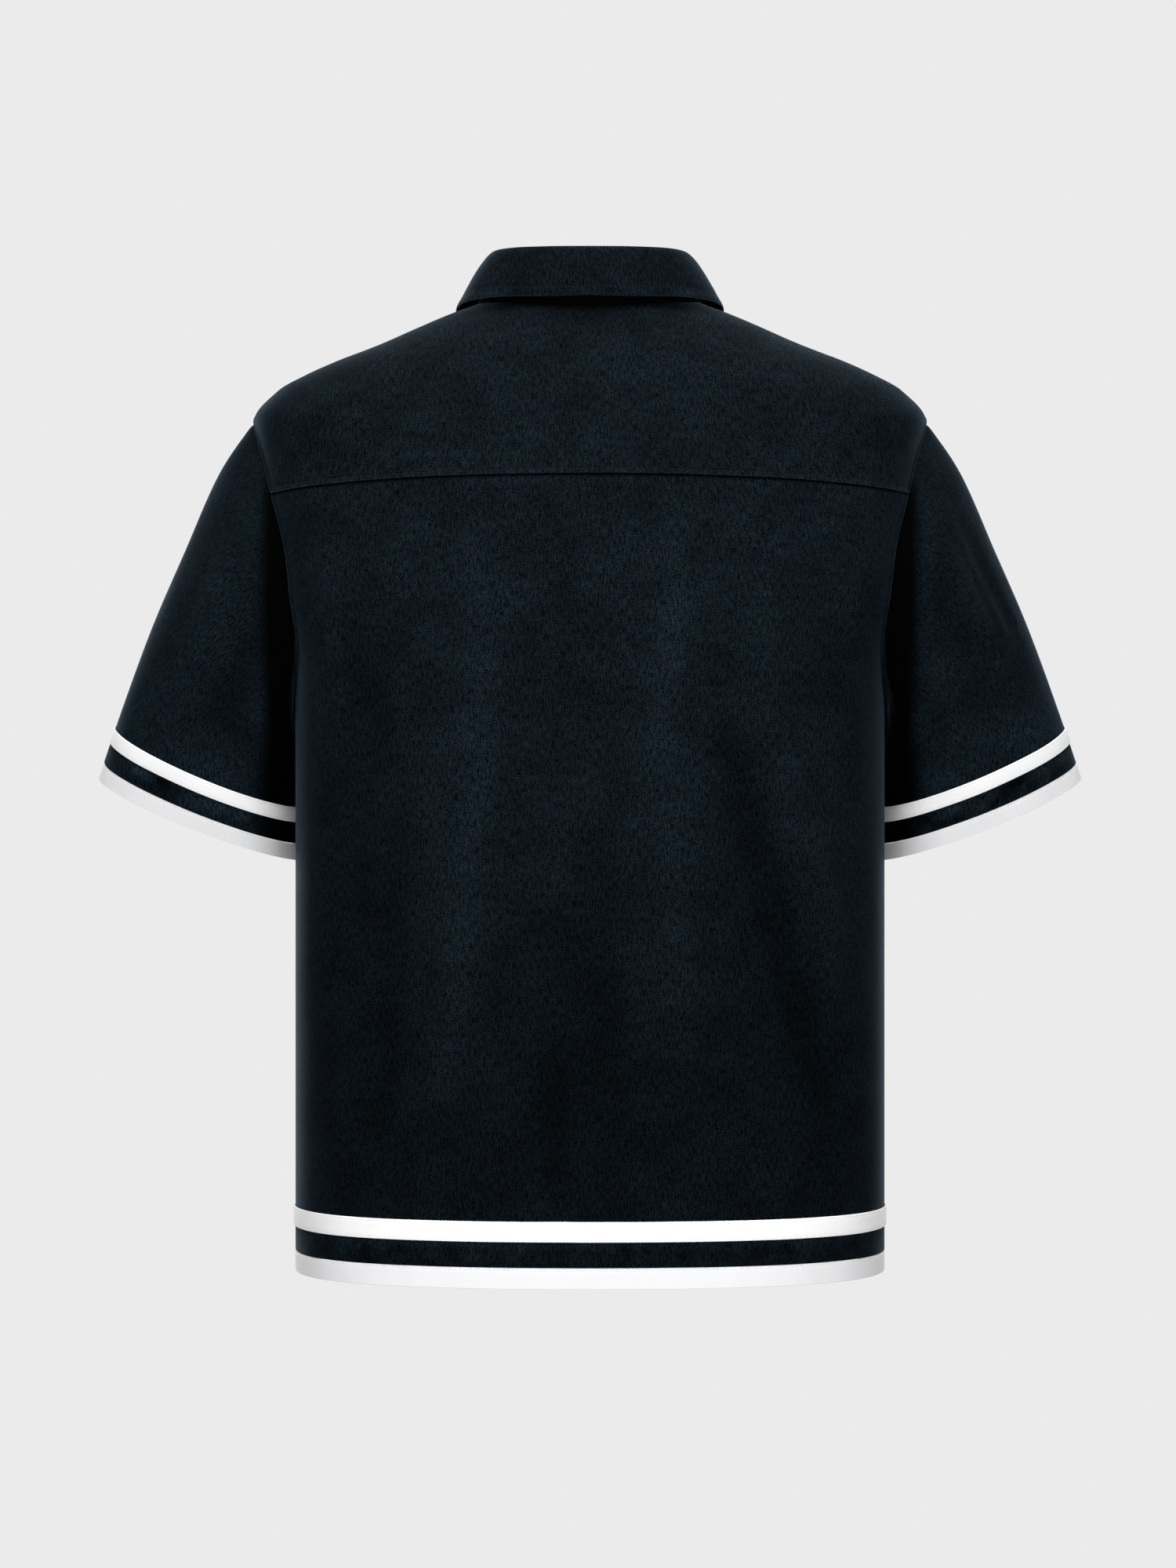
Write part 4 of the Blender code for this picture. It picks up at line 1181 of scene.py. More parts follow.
def make_front_panel(finish):
    turns, levels = front_half()
    angles = np.concatenate([-turns[:, ::-1], (math.pi + turns[:, 1:]) - 2 * math.pi], axis=1)
    heights = np.concatenate([levels[:, ::-1], levels[:, 1:]], axis=1)
    points, normals = body(angles, heights), body_normal(angles, heights)
    middle = turns.shape[1] - 1
    above = ease((heights[:, :1] - UNDERARM) / 0.02)
    sides = rim(from_edge(points, "left")) + rim(from_edge(points, "right"))
    points = points + normals * (above * sides)[..., None]
    shoulder = np.abs(points[0, :, 0]) > smooth_body(-yoke_front_angle(NECK), NECK)[0]
    points = points + normals * (under(from_edge(points, "first")) * shoulder)[..., None]
    slit_rows = int((heights[:, middle] > placket_foot() + 0.014).sum())
    cut_out = (slice(0, slit_rows + 1), slice(middle - 2, middle + 2))
    # Painted shadow just below the yoke's seam on the shoulders.
    painted_light = painted_body_light(points) * (1 - 0.9 * ridge(from_edge(points, "first"), 0, 0.0022) * shoulder)
    painted_light *= mix(0.40, 1.0, collar_shade(angles, heights))
    reach, depth = np.where(shoulder, TUCK, 0.0002), np.where(shoulder, WALL + 0.0006, 0.0)
    grid = tucked(points, normals, grain(angles, heights), painted_light, reach, depth)
    obj = cloth_sheet(
        "front_panel_cloth", *grid[:3], finish["cloth"], WALL, cut_out=cut_out, painted_light=grid[3]
    )
    keep_sheet("front_panel", points, normals)
    declare(obj, "front_panel")


def placket_edge(distance):
    return -0.0004 * ridge(distance, 0, 0.0006) - 0.0003 * ridge(distance, PLACKET_STITCH, 0.0007)


def make_placket(finish):
    across = np.linspace(-PLACKET_HALF, PLACKET_HALF, 25)[None, :]
    heights = mix(NECK, placket_foot(), spaced(RUN.placket, step=0.002, last=True))[:, None]
    turns = placket_angle(heights, across)
    for name, out, outward in (("upper", SEAM_GAP, True), ("under", -WALL - SEAM_GAP, False)):
        points, normals = body(-turns, heights, out), body_normal(-turns, heights)
        if outward:
            edges = ((edge, placket_edge) for edge in ("left", "right", "last"))
            points = shaped(points, normals, *edges)
        # Painted highlights along the placket's edges.
        painted_light = edge_highlights(points, "left", "right", "last")
        obj = cloth_sheet(
            f"placket_{name}_cloth", points, normals, grain(-turns, heights), finish["cloth"],
            WALL, outward, rounded=True, painted_light=painted_light,
        )
        keep_sheet(f"placket_{name}", points + normals * (WALL if outward else 0), normals)
        declare(obj, f"placket_{name}")


def round_angles():
    """Angles once round the body, closed."""
    start, end = np.interp((-math.pi / 2, 1.5 * math.pi), GRAIN_ANGLES, GRAIN_AROUND)
    return np.interp(mix(start, end, spaced(RUN.body)), GRAIN_AROUND, GRAIN_ANGLES)[None, :]


def strip_edge(distance):
    """A tape's edge: rounded off, with a groove along its stitching."""
    return -0.0003 * ridge(distance, 0, 0.0005) - 0.00022 * ridge(distance, TAPE_STITCH, 0.0006)


def puckers(along, size, seed):
    """Small uneven ripples that the stitching draws into a strip."""
    uneven = soft_noise(along / 0.011, np.zeros_like(along) + 0.5, seed)
    finer = soft_noise(along / 0.0046, np.zeros_like(along) + 0.5, seed + 1)
    return size * (uneven + 0.5 * finer)


STRIP_ROWS = np.array(
    [0.0, 0.03, 0.07, 0.11, 0.16, 0.22, 0.34, 0.5, 0.66, 0.78, 0.84, 0.89, 0.93, 0.97, 1.0]
)


def lay_tape(name, points, normals, finish, seed, settle=lambda points: points):
    """A tape laid on the cloth and stitched along both edges."""
    uv = metres(points)
    points = shaped(points, normals, ("first", strip_edge), ("last", strip_edge))
    ripples = np.abs(puckers(uv[..., 0], TAPE_RIPPLE, seed))
    points = settle(points + normals * ripples[..., None])
    tape = cloth_sheet(
        f"{name}_cloth", points, normals, uv, finish["tape"], TAPE_WALL,
        outward=True, ring=True, rounded=True,
    )
    keep_sheet(name, points + normals * TAPE_WALL, normals)
    declare(tape, name)


def hang_band(
    name, points, normals, finish, ripple, seed, settle=lambda points: points
):
    """The folded edging, stitched on along its upper edge."""
    uv = metres(points)
    points = shaped(points, normals, ("first", strip_edge))
    points = settle(points + normals * puckers(uv[..., 0], ripple, seed)[..., None])
    band = cloth_sheet(
        f"{name}_cloth", points, normals, uv, finish["edging"], 2 * TAPE_WALL,
        ring=True, rounded=True,
    )
    keep_sheet(name, points, normals)
    declare(band, name)


def make_hem(finish):
    angles, panels = round_angles(), ["back_panel", "front_panel"]
    heights = mix(HEM_HEIGHTS[2], HEM_HEIGHTS[1], STRIP_ROWS)[:, None]
    points, normals = body(angles, heights, SEAM_GAP), body_normal(angles, heights)
    lay_tape("hem_tape", points, normals, finish, 31)
    heights = mix(HEM_HEIGHTS[0] - EDGE, HEM, STRIP_ROWS)[:, None]
    points, normals = body(angles, heights), body_normal(angles, heights)
    hang_band("hem_band", points, normals, finish, HEM_RIPPLE, 41)


# ---------------------------------------------------------------- sleeves
def sleeve_loop():
    """Turns, armhole points and the points under the body's edge: turn 0 is the shoulder."""
    back = even_heights(SHOULDER, UNDERARM, spaced(RUN.armhole_back))
    front = even_heights(UNDERARM, SHOULDER, spaced(RUN.armhole_front), front=True)
    turns, starts, facing = [], [], []
    for number, heights in enumerate((back, front)):
        angle = armhole_angle(heights, front=bool(number))
        angle = -angle if number else angle
        line = smooth_body(angle, heights)
        lengths = run_lengths(line)
        turn = math.pi * (number + lengths / lengths[-1])
        kept = slice(None, None if number else -1)
        turns.append(turn[kept])
        starts.append(body(angle, heights)[kept])
        facing.append(body_normal(angle, heights)[kept])
    line, facing = np.concatenate(starts), np.concatenate(facing)
    around = np.roll(line[:-1], -1, axis=0) - np.roll(line[:-1], 1, axis=0)
    around = np.concatenate([around, around[:1]])
    away = unit(np.cross(facing, around))
    away *= np.sign(((line - line.mean(axis=0)) * away).sum(axis=-1, keepdims=True))
    below = line + away * TUCK - facing * (WALL + 0.0007)
    return np.concatenate(turns)[None, :], line[None, :, :], below


def sleeve_ring(turn, along):
    turn, along = np.broadcast_arrays(np.asarray(turn, float), np.asarray(along, float))
    row, end = SLEEVE.at(np.minimum(along, ZONE_START)), SLEEVE.at(np.array(1.0))
    t = np.clip((along - ZONE_START) / (1 - ZONE_START), 0, 1)
    row = SimpleNamespace(
        **{name: mix(getattr(row, name), getattr(end, name), t) for name in SLEEVE_COLUMNS}
    )
    depth, share = row.half_depth * np.sin(turn), (1 - np.cos(turn)) / 2
    x = mix(row.top_x, row.under_x, share)
    z = mix(row.top_z, row.under_z, share) - depth * row.lean
    return np.stack([x, depth - row.forward, z], axis=-1)


def sleeve_normal(turn, along):
    around = sleeve_ring(turn + 0.02, along) - sleeve_ring(turn - 0.02, along)
    down = sleeve_ring(turn, np.minimum(along + 0.01, 1.0)) - sleeve_ring(turn, along - 0.01)
    normal = unit(np.cross(around, down))
    centre = mix(sleeve_ring(0.0, along), sleeve_ring(math.pi, along), 0.5)
    outwards = (normal * (sleeve_ring(turn, along) - centre)).sum(axis=-1, keepdims=True)
    return np.where(outwards < 0, -normal, normal)


def zone(distance):
    """The place along the sleeve that lies this far up from the cuff's edge."""
    return 1 - (1 - ZONE_START) * distance / CUFF_ZONE


def cuff_puckers(turn, along, seed):
    """Soft bumps, from -1 to 1, of the cloth between the cuff's tapes."""
    top, foot = zone(CUFF_BAND + CUFF_BLACK), zone(CUFF_BAND)
    between = ease((along - top) / 0.02) * ease((foot - along) / 0.02)
    return between * soft_noise(turn * 7, along * 16, seed + 20)


def sleeve_lift(turn, along, label):
    total = np.zeros(np.broadcast(turn, along).shape)
    for side, top_turn, top, foot_turn, foot, half_width, lift in SLEEVE_FOLDS:
        if side != label:
            continue
        down = (along - top) / (foot - top)
        across = np.clip((turn - mix(top_turn, foot_turn, down)) / half_width, -1, 1)
        shape = lift * ease(down / 0.35) * ease((1 - down) / 0.35)
        total = total + shape * np.cos(across * math.pi / 2) ** 2
    seed = 2 if label == "left" else 9
    uneven = 0.0005 * soft_noise(turn * LATTICE / (2 * math.pi) / 4, along * 7, seed)
    uneven = uneven + 0.0005 * cuff_puckers(turn, along, seed)
    uneven = uneven * ease(turn / 0.3) * ease((2 * math.pi - turn) / 0.3)
    return (total + uneven) * ease(along / 0.08)


def sleeve(turns, starts, along, label, out=0.0):
    """Points and normals of one sleeve: the armhole's own shape fades into plain rings."""
    fading = (1 - ease(along / FADE_END))[..., None]
    points = sleeve_ring(turns, along) + (starts - sleeve_ring(turns, 0.0)) * fading
    normals = sleeve_normal(turns, along)
    points = points + normals * (sleeve_lift(turns, along, label) + out)[..., None]
    side = np.array([1 if label == "left" else -1, 1, 1])
    return points * side, normals * side


def painted_sleeve_light(points, turns, alongs, label):
    """Painted light on a sleeve: painted highlights on the crests of its folds and cuff puckers and
    painted shade in their troughs, and painted shadow on its inner side and on its back beside the
    body; it also grows paler towards the cuff and darker at its very end.
    """
    seed = 2 if label == "left" else 9
    crests = 1 + 0.30 * np.tanh(sleeve_lift(turns, alongs, label) / 0.002)
    crests = crests + 0.9 * cuff_puckers(turns, alongs, seed)
    paler, darker = ease((alongs - 0.55) / 0.25), ease((alongs - 0.88) / 0.03)
    crests = crests * (1.08 + 0.5 * paler - 0.4 * darker)
    # Painted shadow where the sleeve lies in the fold beside the body.
    behind = np.where(turns < math.pi, 1 - ease((np.abs(points[..., 0]) - 0.221) / 0.012), 0.0)
    inner = 1 - ease((np.abs(turns - math.pi) - 0.8) / 0.35)
    return crests * (1 - 0.98 * np.maximum(behind, inner) * ease((-0.105 - points[..., 2]) / 0.03))


def close_ring(values):
    values = values.copy()
    values[:, -1] = values[:, 0]
    return values


def clear_of_panels(points, clearance, share=1.0):
    """The same points, moved out where they would come nearer than this to the body's panels."""
    sheets = [MADE[name] for name in ("back_panel", "front_panel") if name in MADE]
    if not sheets:  # the sleeves' operator may be used before the panels'
        return points
    base = np.concatenate([sheet.points.reshape(-1, 3) for sheet in sheets])
    facing = np.concatenate([sheet.normals.reshape(-1, 3) for sheet in sheets])
    x, z = np.abs(base[:, 0]), base[:, 2]
    beside = (x > BESIDE.panel_x) & (z < BESIDE.top) & (z > BESIDE.foot)
    base, facing = base[beside], facing[beside]
    tree = KDTree(len(base))
    for index, spot in enumerate(base):
        tree.insert(spot, index)
    tree.balance()
    moved = points.reshape(-1, 3).copy()
    clearance = np.broadcast_to(clearance, points.shape[:2]).reshape(-1)
    share = np.broadcast_to(share, points.shape[:2]).reshape(-1)
    for n in np.flatnonzero(np.abs(moved[:, 0]) < BESIDE.sleeve_x):
        index, away = tree.find(moved[n])[1:]
        short = clearance[n] - (moved[n] - base[index]) @ facing[index]
        if away < BESIDE.reach and short > 0:
            moved[n] += facing[index] * short * share[n]
    return moved.reshape(points.shape)


def make_sleeve(label, finish):
    turns, starts, below = sleeve_loop()
    side = np.array([1 if label == "left" else -1, 1, 1])
    low = side * (0.272, -0.045, -0.345)
    alongs = ZONE_START * spaced(RUN.sleeve, first=True)
    at_cuff = mix(ZONE_START, zone(CUFF_BAND), spaced(RUN.cuff)[1:])
    alongs = np.concatenate([alongs, at_cuff])[:, None]
    points, normals = sleeve(turns, starts, alongs, label)
    surface = faced(grid_normals(points), points, low)
    distance = from_edge(points, "first")
    points = points + surface * (-0.0016 * ridge(distance, 0, 0.0035))[..., None]
    clearance = mix(0.00012, TAPE_WALL + 0.0008, ease((alongs - 0.55) / 0.2))
    points = clear_of_panels(points, clearance, ease((distance - 0.003) / 0.003))
    points = close_ring(points)
    painted_light = painted_sleeve_light(points, turns, alongs, label)
    painted_light = np.concatenate([painted_light[:1], painted_light])
    cloth = close_ring(np.concatenate([(below * side)[None], points]))
    facing = np.concatenate([surface[:1], surface])
    obj = cloth_sheet(
        f"sleeve_{label}_cloth", cloth, facing, metres(cloth), finish["cloth"], WALL,
        ring=True, painted_light=painted_light,
    )
    keep_sheet(f"sleeve_{label}", points, surface)
    declare(obj, f"sleeve_{label}")
    start, end = zone(CUFF_BAND + CUFF_BLACK + CUFF_TAPE), zone(CUFF_BAND + CUFF_BLACK)
    points, normals = sleeve(turns, starts, mix(start, end, STRIP_ROWS)[:, None], label, SEAM_GAP)
    lay_tape(
        f"cuff_tape_{label}", points, normals, finish, 51,
        lambda points: close_ring(clear_of_panels(points, TAPE_WALL + SEAM_GAP)),
    )
    alongs = mix(zone(CUFF_BAND - EDGE), 1.0, STRIP_ROWS)[:, None]
    points, normals = sleeve(turns, starts, alongs, label)
    hang_band(
        f"cuff_band_{label}", points, normals, finish,
        CUFF_RIPPLE, 61, close_ring,
    )


# ---------------------------------------------------------------- collar
def fold_line(angle):
    s = np.sin(angle)
    depth = np.where(s >= 0, FOLD_LINE.back_y, FOLD_LINE.front_y)
    level = np.where(s >= 0, FOLD_LINE.back_z, FOLD_LINE.front_z)
    x = FOLD_LINE.half_width * np.cos(angle)
    return np.stack([x, depth * s, mix(FOLD_LINE.side_z, level, s * s)], axis=-1)


def stand_edge(distance):
    return -0.0003 * ridge(distance, STAND_STITCH, 0.0007)


def make_stand(finish):
    angles = mix(STAND_END, math.pi - STAND_END, spaced(RUN.stand, step=0.0026))[None, :]
    shares = spaced(RUN.stand_up, first=True)[:, None, None]
    foot, top = smooth_body(angles, NECK), fold_line(angles)
    outward = unit(foot * np.array([1, 1, 0]))
    past_placket = ease((np.abs(foot[..., :1]) - PLACKET_HALF - 0.0005) / 0.004)
    beside_placket = np.maximum(past_placket, foot[..., 1:2] > 0)
    tuck = mix(-SEAM_GAP, STAND_TUCK, beside_placket)
    offset = mix(WALL + SEAM_GAP, SEAM_GAP, ease(shares / 0.15))
    points = mix(foot - unit(top - foot) * tuck, top, shares) - outward * offset
    normals = faced(grid_normals(points), points, (0, 0, 0))
    points = shaped(points, normals, ("first", stand_edge))
    # Painted shadow on the foot of the stand under the leaf, deepest at the back.
    at_back = ease(3 * np.sin(angles))
    painted_light = mix(mix(0.60, 0.05, at_back), 1.0, ease((from_edge(points, "first") - 0.008) / 0.010))
    obj = cloth_sheet(
        "collar_stand_cloth", points, normals, metres(points), finish["cloth"], WALL, painted_light=painted_light
    )
    keep_sheet("collar_stand", points, normals)
    declare(obj, "collar_stand")


def leaf_points(angle, t):
    """Points of the leaf: t runs from the fold at the top of the stand to the free edge."""
    angle, t = np.broadcast_arrays(angle, t)
    mirrored = angle > math.pi / 2
    place = np.where(mirrored, math.pi - angle, angle)
    edge = LEAF.at(np.degrees(place))
    body_angle = np.radians(edge.body_angle)
    end = smooth_body(body_angle, edge.body_height)
    end = end + body_normal(body_angle, edge.body_height) * edge.clear[..., None]
    top = fold_line(place)
    rise = unit(top - smooth_body(place, NECK))
    outward = np.stack([np.cos(place), np.sin(place), np.zeros_like(place)], axis=-1)
    outward = unit(outward - rise * (outward * rise).sum(axis=-1, keepdims=True))
    start = top - outward * WALL + rise * LEAF_LIFT
    t = t[..., None]
    points = (
        start * (1 - t) ** 3
        + (start + rise * LEAF_ROLL) * 3 * t * (1 - t) ** 2
        + (top + (outward + rise * 0.5) * LEAF_ROLL) * 3 * t * t * (1 - t)
        + end * t**3
    )
    same = np.ones_like(place)
    return points * np.stack([np.where(mirrored, -1, 1), same, same], axis=-1)


def leaf_edge(distance):
    return 0.0003 * ridge(distance, 0.003, 0.003) - 0.00045 * ridge(distance, LEAF_STITCH, 0.0010)


def make_leaf(finish):
    shares = spaced(RUN.leaf, first=True, last=True, step=0.0022)
    angles = mix(LEAF_END, math.pi - LEAF_END, shares)[None, :]
    steps = np.concatenate([np.linspace(0, 0.3, 12)[:-1], np.linspace(0.3, 1.0, 34)])
    points = leaf_points(angles, steps[:, None] * (1 - LEAF_TRIM * ease(1 + np.sin(angles) / 0.35)))
    normals = faced(grid_normals(points), points, (0, 0, -0.02))
    points = shaped(points, normals, ("last", leaf_edge), ("left", leaf_edge), ("right", leaf_edge))
    u = metres(points)
    uneven = 0.0004 * soft_noise(u[..., 0] / 0.03 + 8, u[..., 1] / 0.02, 77)
    points = points + normals * (uneven * ease(steps / 0.3)[:, None])[..., None]
    # Painted highlights along the leaf's edges, over the roll of its fold, towards its sides and
    # along its edge there, with painted shade over the rest.
    painted_light = edge_highlights(points, "last", "left", "right")
    painted_light = painted_light * (0.86 + 1.2 * ridge(steps, 0.30, 0.13))[:, None]
    beside = ease((np.abs(points[..., 0]) - 0.048) / 0.024)
    leaf_rim_highlight = ridge(from_edge(points, "last"), 0.0026, 0.0020)
    painted_light = painted_light * (1 + 0.35 * beside) * (1 + 0.8 * beside * leaf_rim_highlight)
    obj = cloth_sheet(
        "collar_leaf_cloth", points, normals, metres(points), finish["cloth"], WALL,
        rounded=True, painted_light=painted_light,
    )
    keep_sheet("collar_leaf", points, normals)
    declare(obj, "collar_leaf")


# ---------------------------------------------------------------- buttons
def button_place(number):
    """The frame's own place for a button, and which way its face looks."""
    low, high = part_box(f"button_{number}")
    middle = (low + high) / 2
    heights = np.linspace(NECK, UNDERARM, 400)
    height = np.interp(-middle.z, -smooth_body(-math.pi / 2, heights)[:, 2], heights)
    outward = Vector(body_normal(np.array(-math.pi / 2), np.array(height)))
    outward.x = 0
    outward.normalize()
    return middle + outward * BUTTON_LIFTS[number - 1], outward


def make_button_shape(finish):
    """One button lying flat at the origin, face up: a dished face, a round rim, four holes."""
    deselect()
    bpy.ops.mesh.primitive_cylinder_add(vertices=48, radius=BUTTON_RADIUS, depth=BUTTON_DEPTH)
    button = bpy.context.object
    top = max(button.data.polygons, key=lambda face: face.center.z)
    edit_faces(button, [face.index == top.index for face in button.data.polygons])
    bpy.ops.mesh.inset(thickness=0.0011)
    bpy.ops.mesh.inset(thickness=0.0005)
    bpy.ops.transform.translate(value=(0, 0, -0.0005))
    bpy.ops.object.mode_set(mode="OBJECT")
    for n in range(4):
        angle = math.radians(45 + 90 * n)
        spot = (math.cos(angle) * BUTTON_HOLE_SPREAD, math.sin(angle) * BUTTON_HOLE_SPREAD, 0)
        deselect()
        bpy.ops.mesh.primitive_cylinder_add(
            vertices=16, radius=BUTTON_HOLE_RADIUS, depth=0.01, location=spot
        )
        cutter = bpy.context.object
        apply_modifier(button, "BOOLEAN", object=cutter, solver="EXACT")
        bpy.data.objects.remove(cutter)
    apply_modifier(
        button, "BEVEL", width=0.00035, segments=3,
        limit_method="ANGLE", angle_limit=math.radians(50),
    )
    button.data.materials.append(finish["button"])
    make_active(button)
    bpy.ops.object.shade_smooth_by_angle(angle=math.radians(40))
    return button


def make_buttons(finish):
    pattern = make_button_shape(finish)
    for number in (1, 2, 3):
        middle, outward = button_place(number)
        button = bpy.data.objects.new(f"button_{number}_horn", pattern.data.copy())
        bpy.context.scene.collection.objects.link(button)
        turn = outward.to_track_quat("Z", "Y").to_matrix().to_4x4()
        button.data.transform(Matrix.Translation(middle) @ turn)
        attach(button, "root")
        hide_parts(f"button_{number}")
    bpy.data.objects.remove(pattern)


# ---------------------------------------------------------------- the studio
def soft_light(name, place, size, power):
    data = bpy.data.lights.new(name, "AREA")
    data.shape = "RECTANGLE"
    data.size, data.size_y = size
    data.energy = power
    obj = bpy.data.objects.new(name, data)
    obj.location = place
    obj.rotation_euler = (Vector(LIGHTS_AIM) - Vector(place)).to_track_quat("-Z", "Y").to_euler()
    bpy.context.scene.collection.objects.link(obj)


def seen_or_lit(tree, background, fill, place):
    """One value for what the lens sees and another for the light that reaches the cloth."""
    path = add_node(tree, "ShaderNodeLightPath", (place[0] - 1, place[1]))
    return map_range(tree, place, path.outputs["Is Camera Ray"], 0.0, 1.0, fill, background)


def make_world(settings):
    world = bpy.data.worlds.new("Plain studio")
    world.use_nodes = True
    tree = world.node_tree
    background = tree.nodes["Background"]
    background.inputs["Color"].default_value = (1, 1, 1, 1)
    strength = seen_or_lit(tree, BACKDROP, settings.fill, (-1, 0))
    tree.links.new(strength, background.inputs["Strength"])
    bpy.context.scene.world = world


def make_floor(settings):
    """A plain pale floor, well below the hem."""
    deselect()
    drop = CAD_BOX[0].z - settings.floor_drop
    bpy.ops.mesh.primitive_grid_add(
        x_subdivisions=12, y_subdivisions=12, size=24, location=(0, 0, drop)
    )
    floor = bpy.context.object
    floor.name = "floor"
    bpy.ops.object.transform_apply(location=True, rotation=False, scale=False)
    made, tree, shader = new_material("Plain floor")
    tree.nodes.remove(shader)
    glow = add_node(tree, "ShaderNodeEmission", (0, 0))
    tree.links.new(seen_or_lit(tree, BACKDROP, settings.fill, (-1, 0)), glow.inputs["Strength"])
    clear = add_node(tree, "ShaderNodeBsdfTransparent", (0, 1))
    side = add_node(tree, "ShaderNodeNewGeometry", (0, 2))
    both = add_node(tree, "ShaderNodeMixShader", (1, 0))
    tree.links.new(side.outputs["Backfacing"], both.inputs[0])
    tree.links.new(glow.outputs[0], both.inputs[1])
    tree.links.new(clear.outputs[0], both.inputs[2])
    tree.links.new(both.outputs[0], tree.nodes["Material Output"].inputs["Surface"])
    floor.data.materials.append(made)


def make_camera(settings):
    data = bpy.data.cameras.new("Camera")
    data.lens = settings.focal_length
    data.sensor_width = 36
    data.clip_end = 60
    camera = bpy.data.objects.new("Camera", data)
    camera.location = CAMERA_PLACE
    camera.rotation_euler = (math.pi / 2, 0, math.pi)
    bpy.context.scene.collection.objects.link(camera)
    bpy.context.scene.camera = camera


# ---------------------------------------------------------------- operators
def settings_of(context):
    return context.scene.shirt_settings


class SHIRT_OT_stage(bpy.types.Operator):
    """Add the camera, the lights, the world and the floor"""

    bl_idname = "shirt.stage"
    bl_label = "Studio"

    def execute(self, context):
        settings = context.scene.studio_settings
        make_camera(settings)
        make_world(settings)
        make_floor(settings)
        for name, place, size, source, share in LIGHTS:
            soft_light(name, place, size, getattr(settings, source) * share)
        view = context.scene.view_settings
        view.view_transform = "Standard"
        view.look = "None"
        view.exposure, view.gamma = 0, 1
        return {"FINISHED"}


class SHIRT_OT_back(bpy.types.Operator):
    """Make the back panel and the yoke over it"""

    bl_idname = "shirt.back"
    bl_label = "Back panel and yoke"

    def execute(self, context):
        finish = finishes(settings_of(context))
        make_back_panel(finish)
        make_back_yoke(finish)
        return {"FINISHED"}


class SHIRT_OT_front(bpy.types.Operator):
    """Make the front with its slit, and the two strips of the placket"""

    bl_idname = "shirt.front"
    bl_label = "Front and placket"

    def execute(self, context):
        finish = finishes(settings_of(context))
        make_front_panel(finish)
        make_placket(finish)
        return {"FINISHED"}


class SHIRT_OT_sleeves(bpy.types.Operator):
    """Make both sleeves with their tapes and edgings"""

    bl_idname = "shirt.sleeves"
    bl_label = "Sleeves"

    def execute(self, context):
        finish = finishes(settings_of(context))
        for label in ("left", "right"):
            make_sleeve(label, finish)
        return {"FINISHED"}


class SHIRT_OT_hem(bpy.types.Operator):
    """Make the tape above the hem and the edging below it"""

    bl_idname = "shirt.hem"
    bl_label = "Hem"

    def execute(self, context):
        make_hem(finishes(settings_of(context)))
        return {"FINISHED"}


class SHIRT_OT_collar(bpy.types.Operator):
    """Make the collar stand and the leaf folded over it"""

    bl_idname = "shirt.collar"
    bl_label = "Collar"

    def execute(self, context):
        finish = finishes(settings_of(context))
        make_stand(finish)
        make_leaf(finish)
        return {"FINISHED"}


class SHIRT_OT_buttons(bpy.types.Operator):
    """Make the three buttons of the placket"""

    bl_idname = "shirt.buttons"
    bl_label = "Buttons"

    def execute(self, context):
        make_buttons(finishes(settings_of(context)))
        return {"FINISHED"}


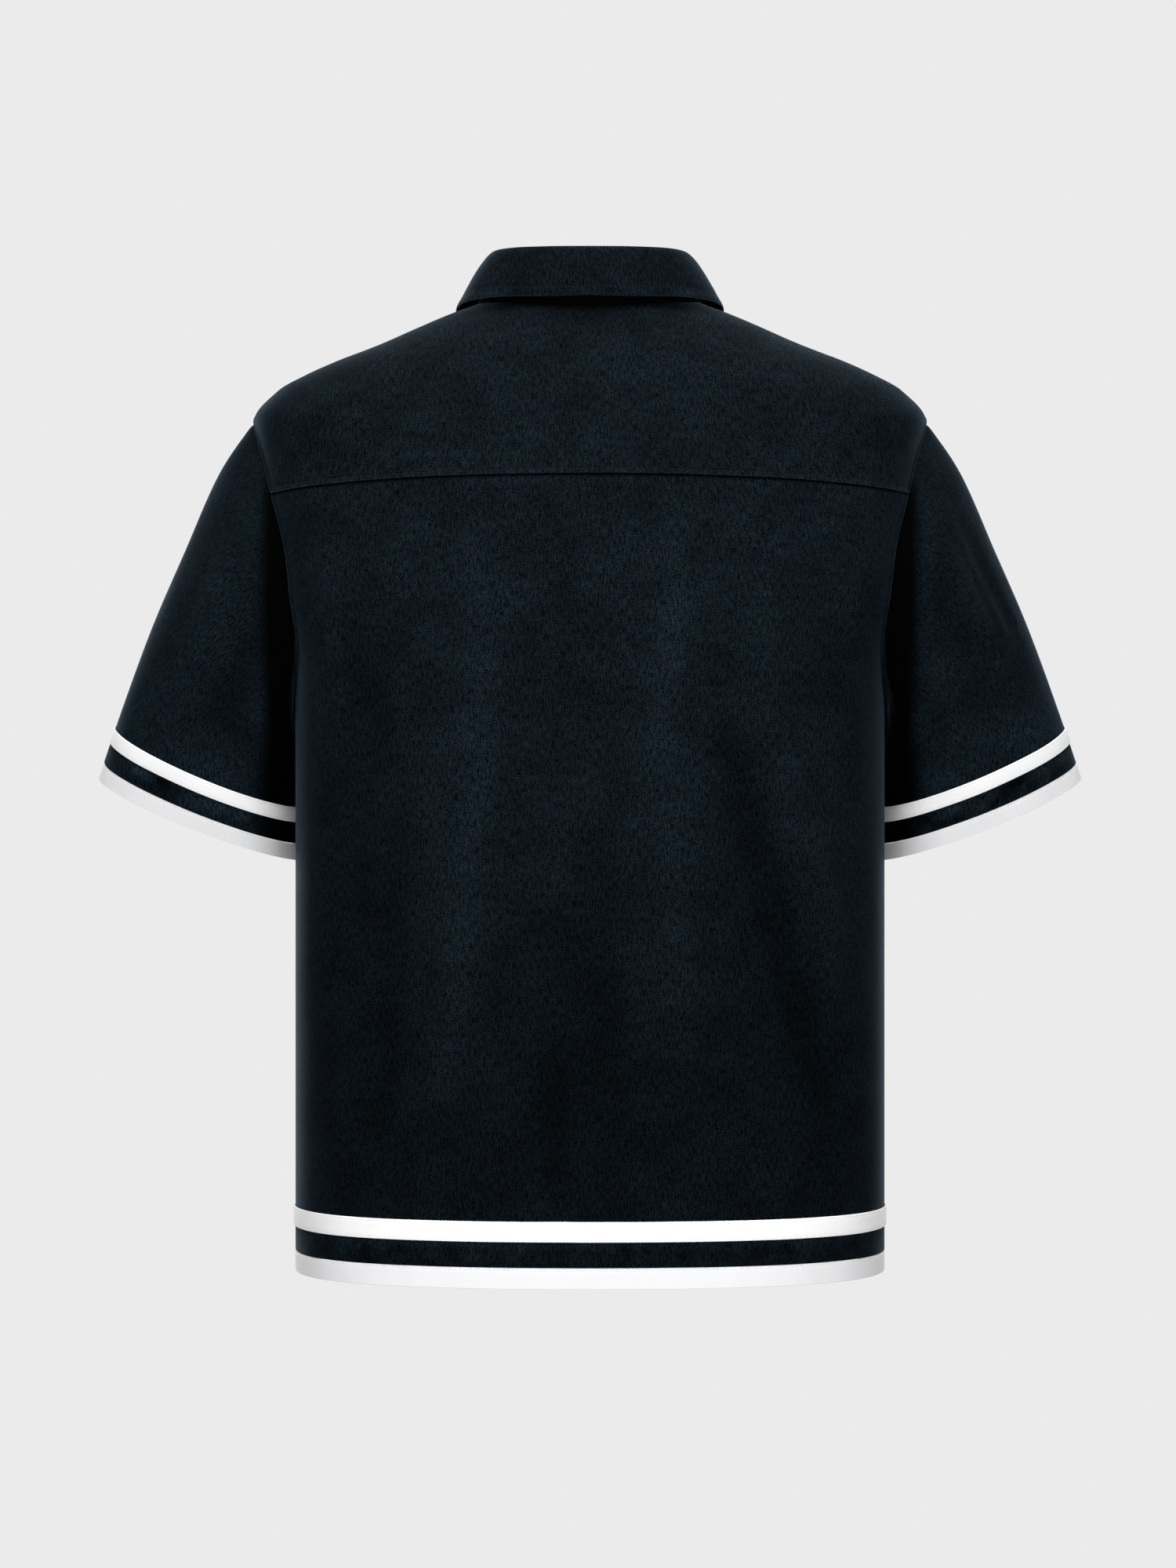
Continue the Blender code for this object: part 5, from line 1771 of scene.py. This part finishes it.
class SHIRT_OT_stitches(bpy.types.Operator):
    """Sew the seams, the tapes, the collar and the placket with visible stitches"""

    bl_idname = "shirt.stitches"
    bl_label = "Stitching"

    def execute(self, context):
        settings = settings_of(context)
        finish = finishes(settings)
        length, gap, radius = settings.stitch_length, settings.stitch_gap, settings.thread_radius

        def line(name, edge, distance, kept=slice(None)):
            sheet = MADE[name]
            points, normals = line_at(sheet.points, sheet.normals, edge, distance)
            return stitch_spots(points[kept], normals[kept], length, gap)

        def seam(name, lines, thread, slot_name, raised=0.5):
            spots = [line(*row) for row in lines]
            sew(name, spots, length, radius, finish[thread], radius * raised)

        navy, white = ("dark_thread", "body_cloth"), ("white_thread", "white_tape")
        inner = slice(1, -1)
        yoke = [("back_yoke", "last", SEAM_STITCH, MADE["back_yoke"].sewn)]
        yoke += [("back_yoke", edge, SEAM_STITCH) for edge in ("left", "right")]
        seam("yoke_stitches", yoke, *navy)
        collar = [("collar_leaf", edge, LEAF_STITCH, inner) for edge in ("last", "left", "right")]
        collar += [("collar_stand", "first", STAND_STITCH, inner)]
        seam("collar_stitches", collar, *navy, raised=-0.25)
        placket = [("placket_upper", edge, PLACKET_STITCH) for edge in ("left", "right", "last")]
        seam("placket_stitches", placket, *navy)
        for part, end in (("hem", ""), ("cuff", "_left"), ("cuff", "_right")):
            strips = [(f"{part}_tape{end}", edge, TAPE_STITCH) for edge in ("first", "last")]
            strips += [(f"{part}_band{end}", "first", TAPE_STITCH)]
            seam(f"{part}_stitches{end}", strips, *white)
        return {"FINISHED"}


OPERATORS = (
    SHIRT_OT_stage,
    SHIRT_OT_back,
    SHIRT_OT_front,
    SHIRT_OT_sleeves,
    SHIRT_OT_hem,
    SHIRT_OT_collar,
    SHIRT_OT_buttons,
    SHIRT_OT_stitches,
)


class SHIRT_PT_panel(bpy.types.Panel):
    """The shirt's settings and its pieces"""

    bl_idname = "SHIRT_PT_panel"
    bl_label = "Polo shirt"
    bl_space_type = "VIEW_3D"
    bl_region_type = "UI"
    bl_category = "Polo shirt"

    def draw(self, context):
        for settings in (context.scene.shirt_settings, context.scene.studio_settings):
            for name in settings.__annotations__:
                self.layout.prop(settings, name)
        for operator in OPERATORS:
            self.layout.operator(operator.bl_idname)


CLASSES = (ShirtSettings, StudioSettings, *OPERATORS, SHIRT_PT_panel)


def register():
    for made in CLASSES:
        bpy.utils.register_class(made)
    bpy.types.Scene.shirt_settings = PointerProperty(type=ShirtSettings)
    bpy.types.Scene.studio_settings = PointerProperty(type=StudioSettings)


def unregister():
    del bpy.types.Scene.shirt_settings
    del bpy.types.Scene.studio_settings
    for made in reversed(CLASSES):
        bpy.utils.unregister_class(made)


def main():
    register()
    for step in OPERATORS:
        category, name = step.bl_idname.split(".")
        getattr(getattr(bpy.ops, category), name)()


if __name__ == "__main__":
    main()
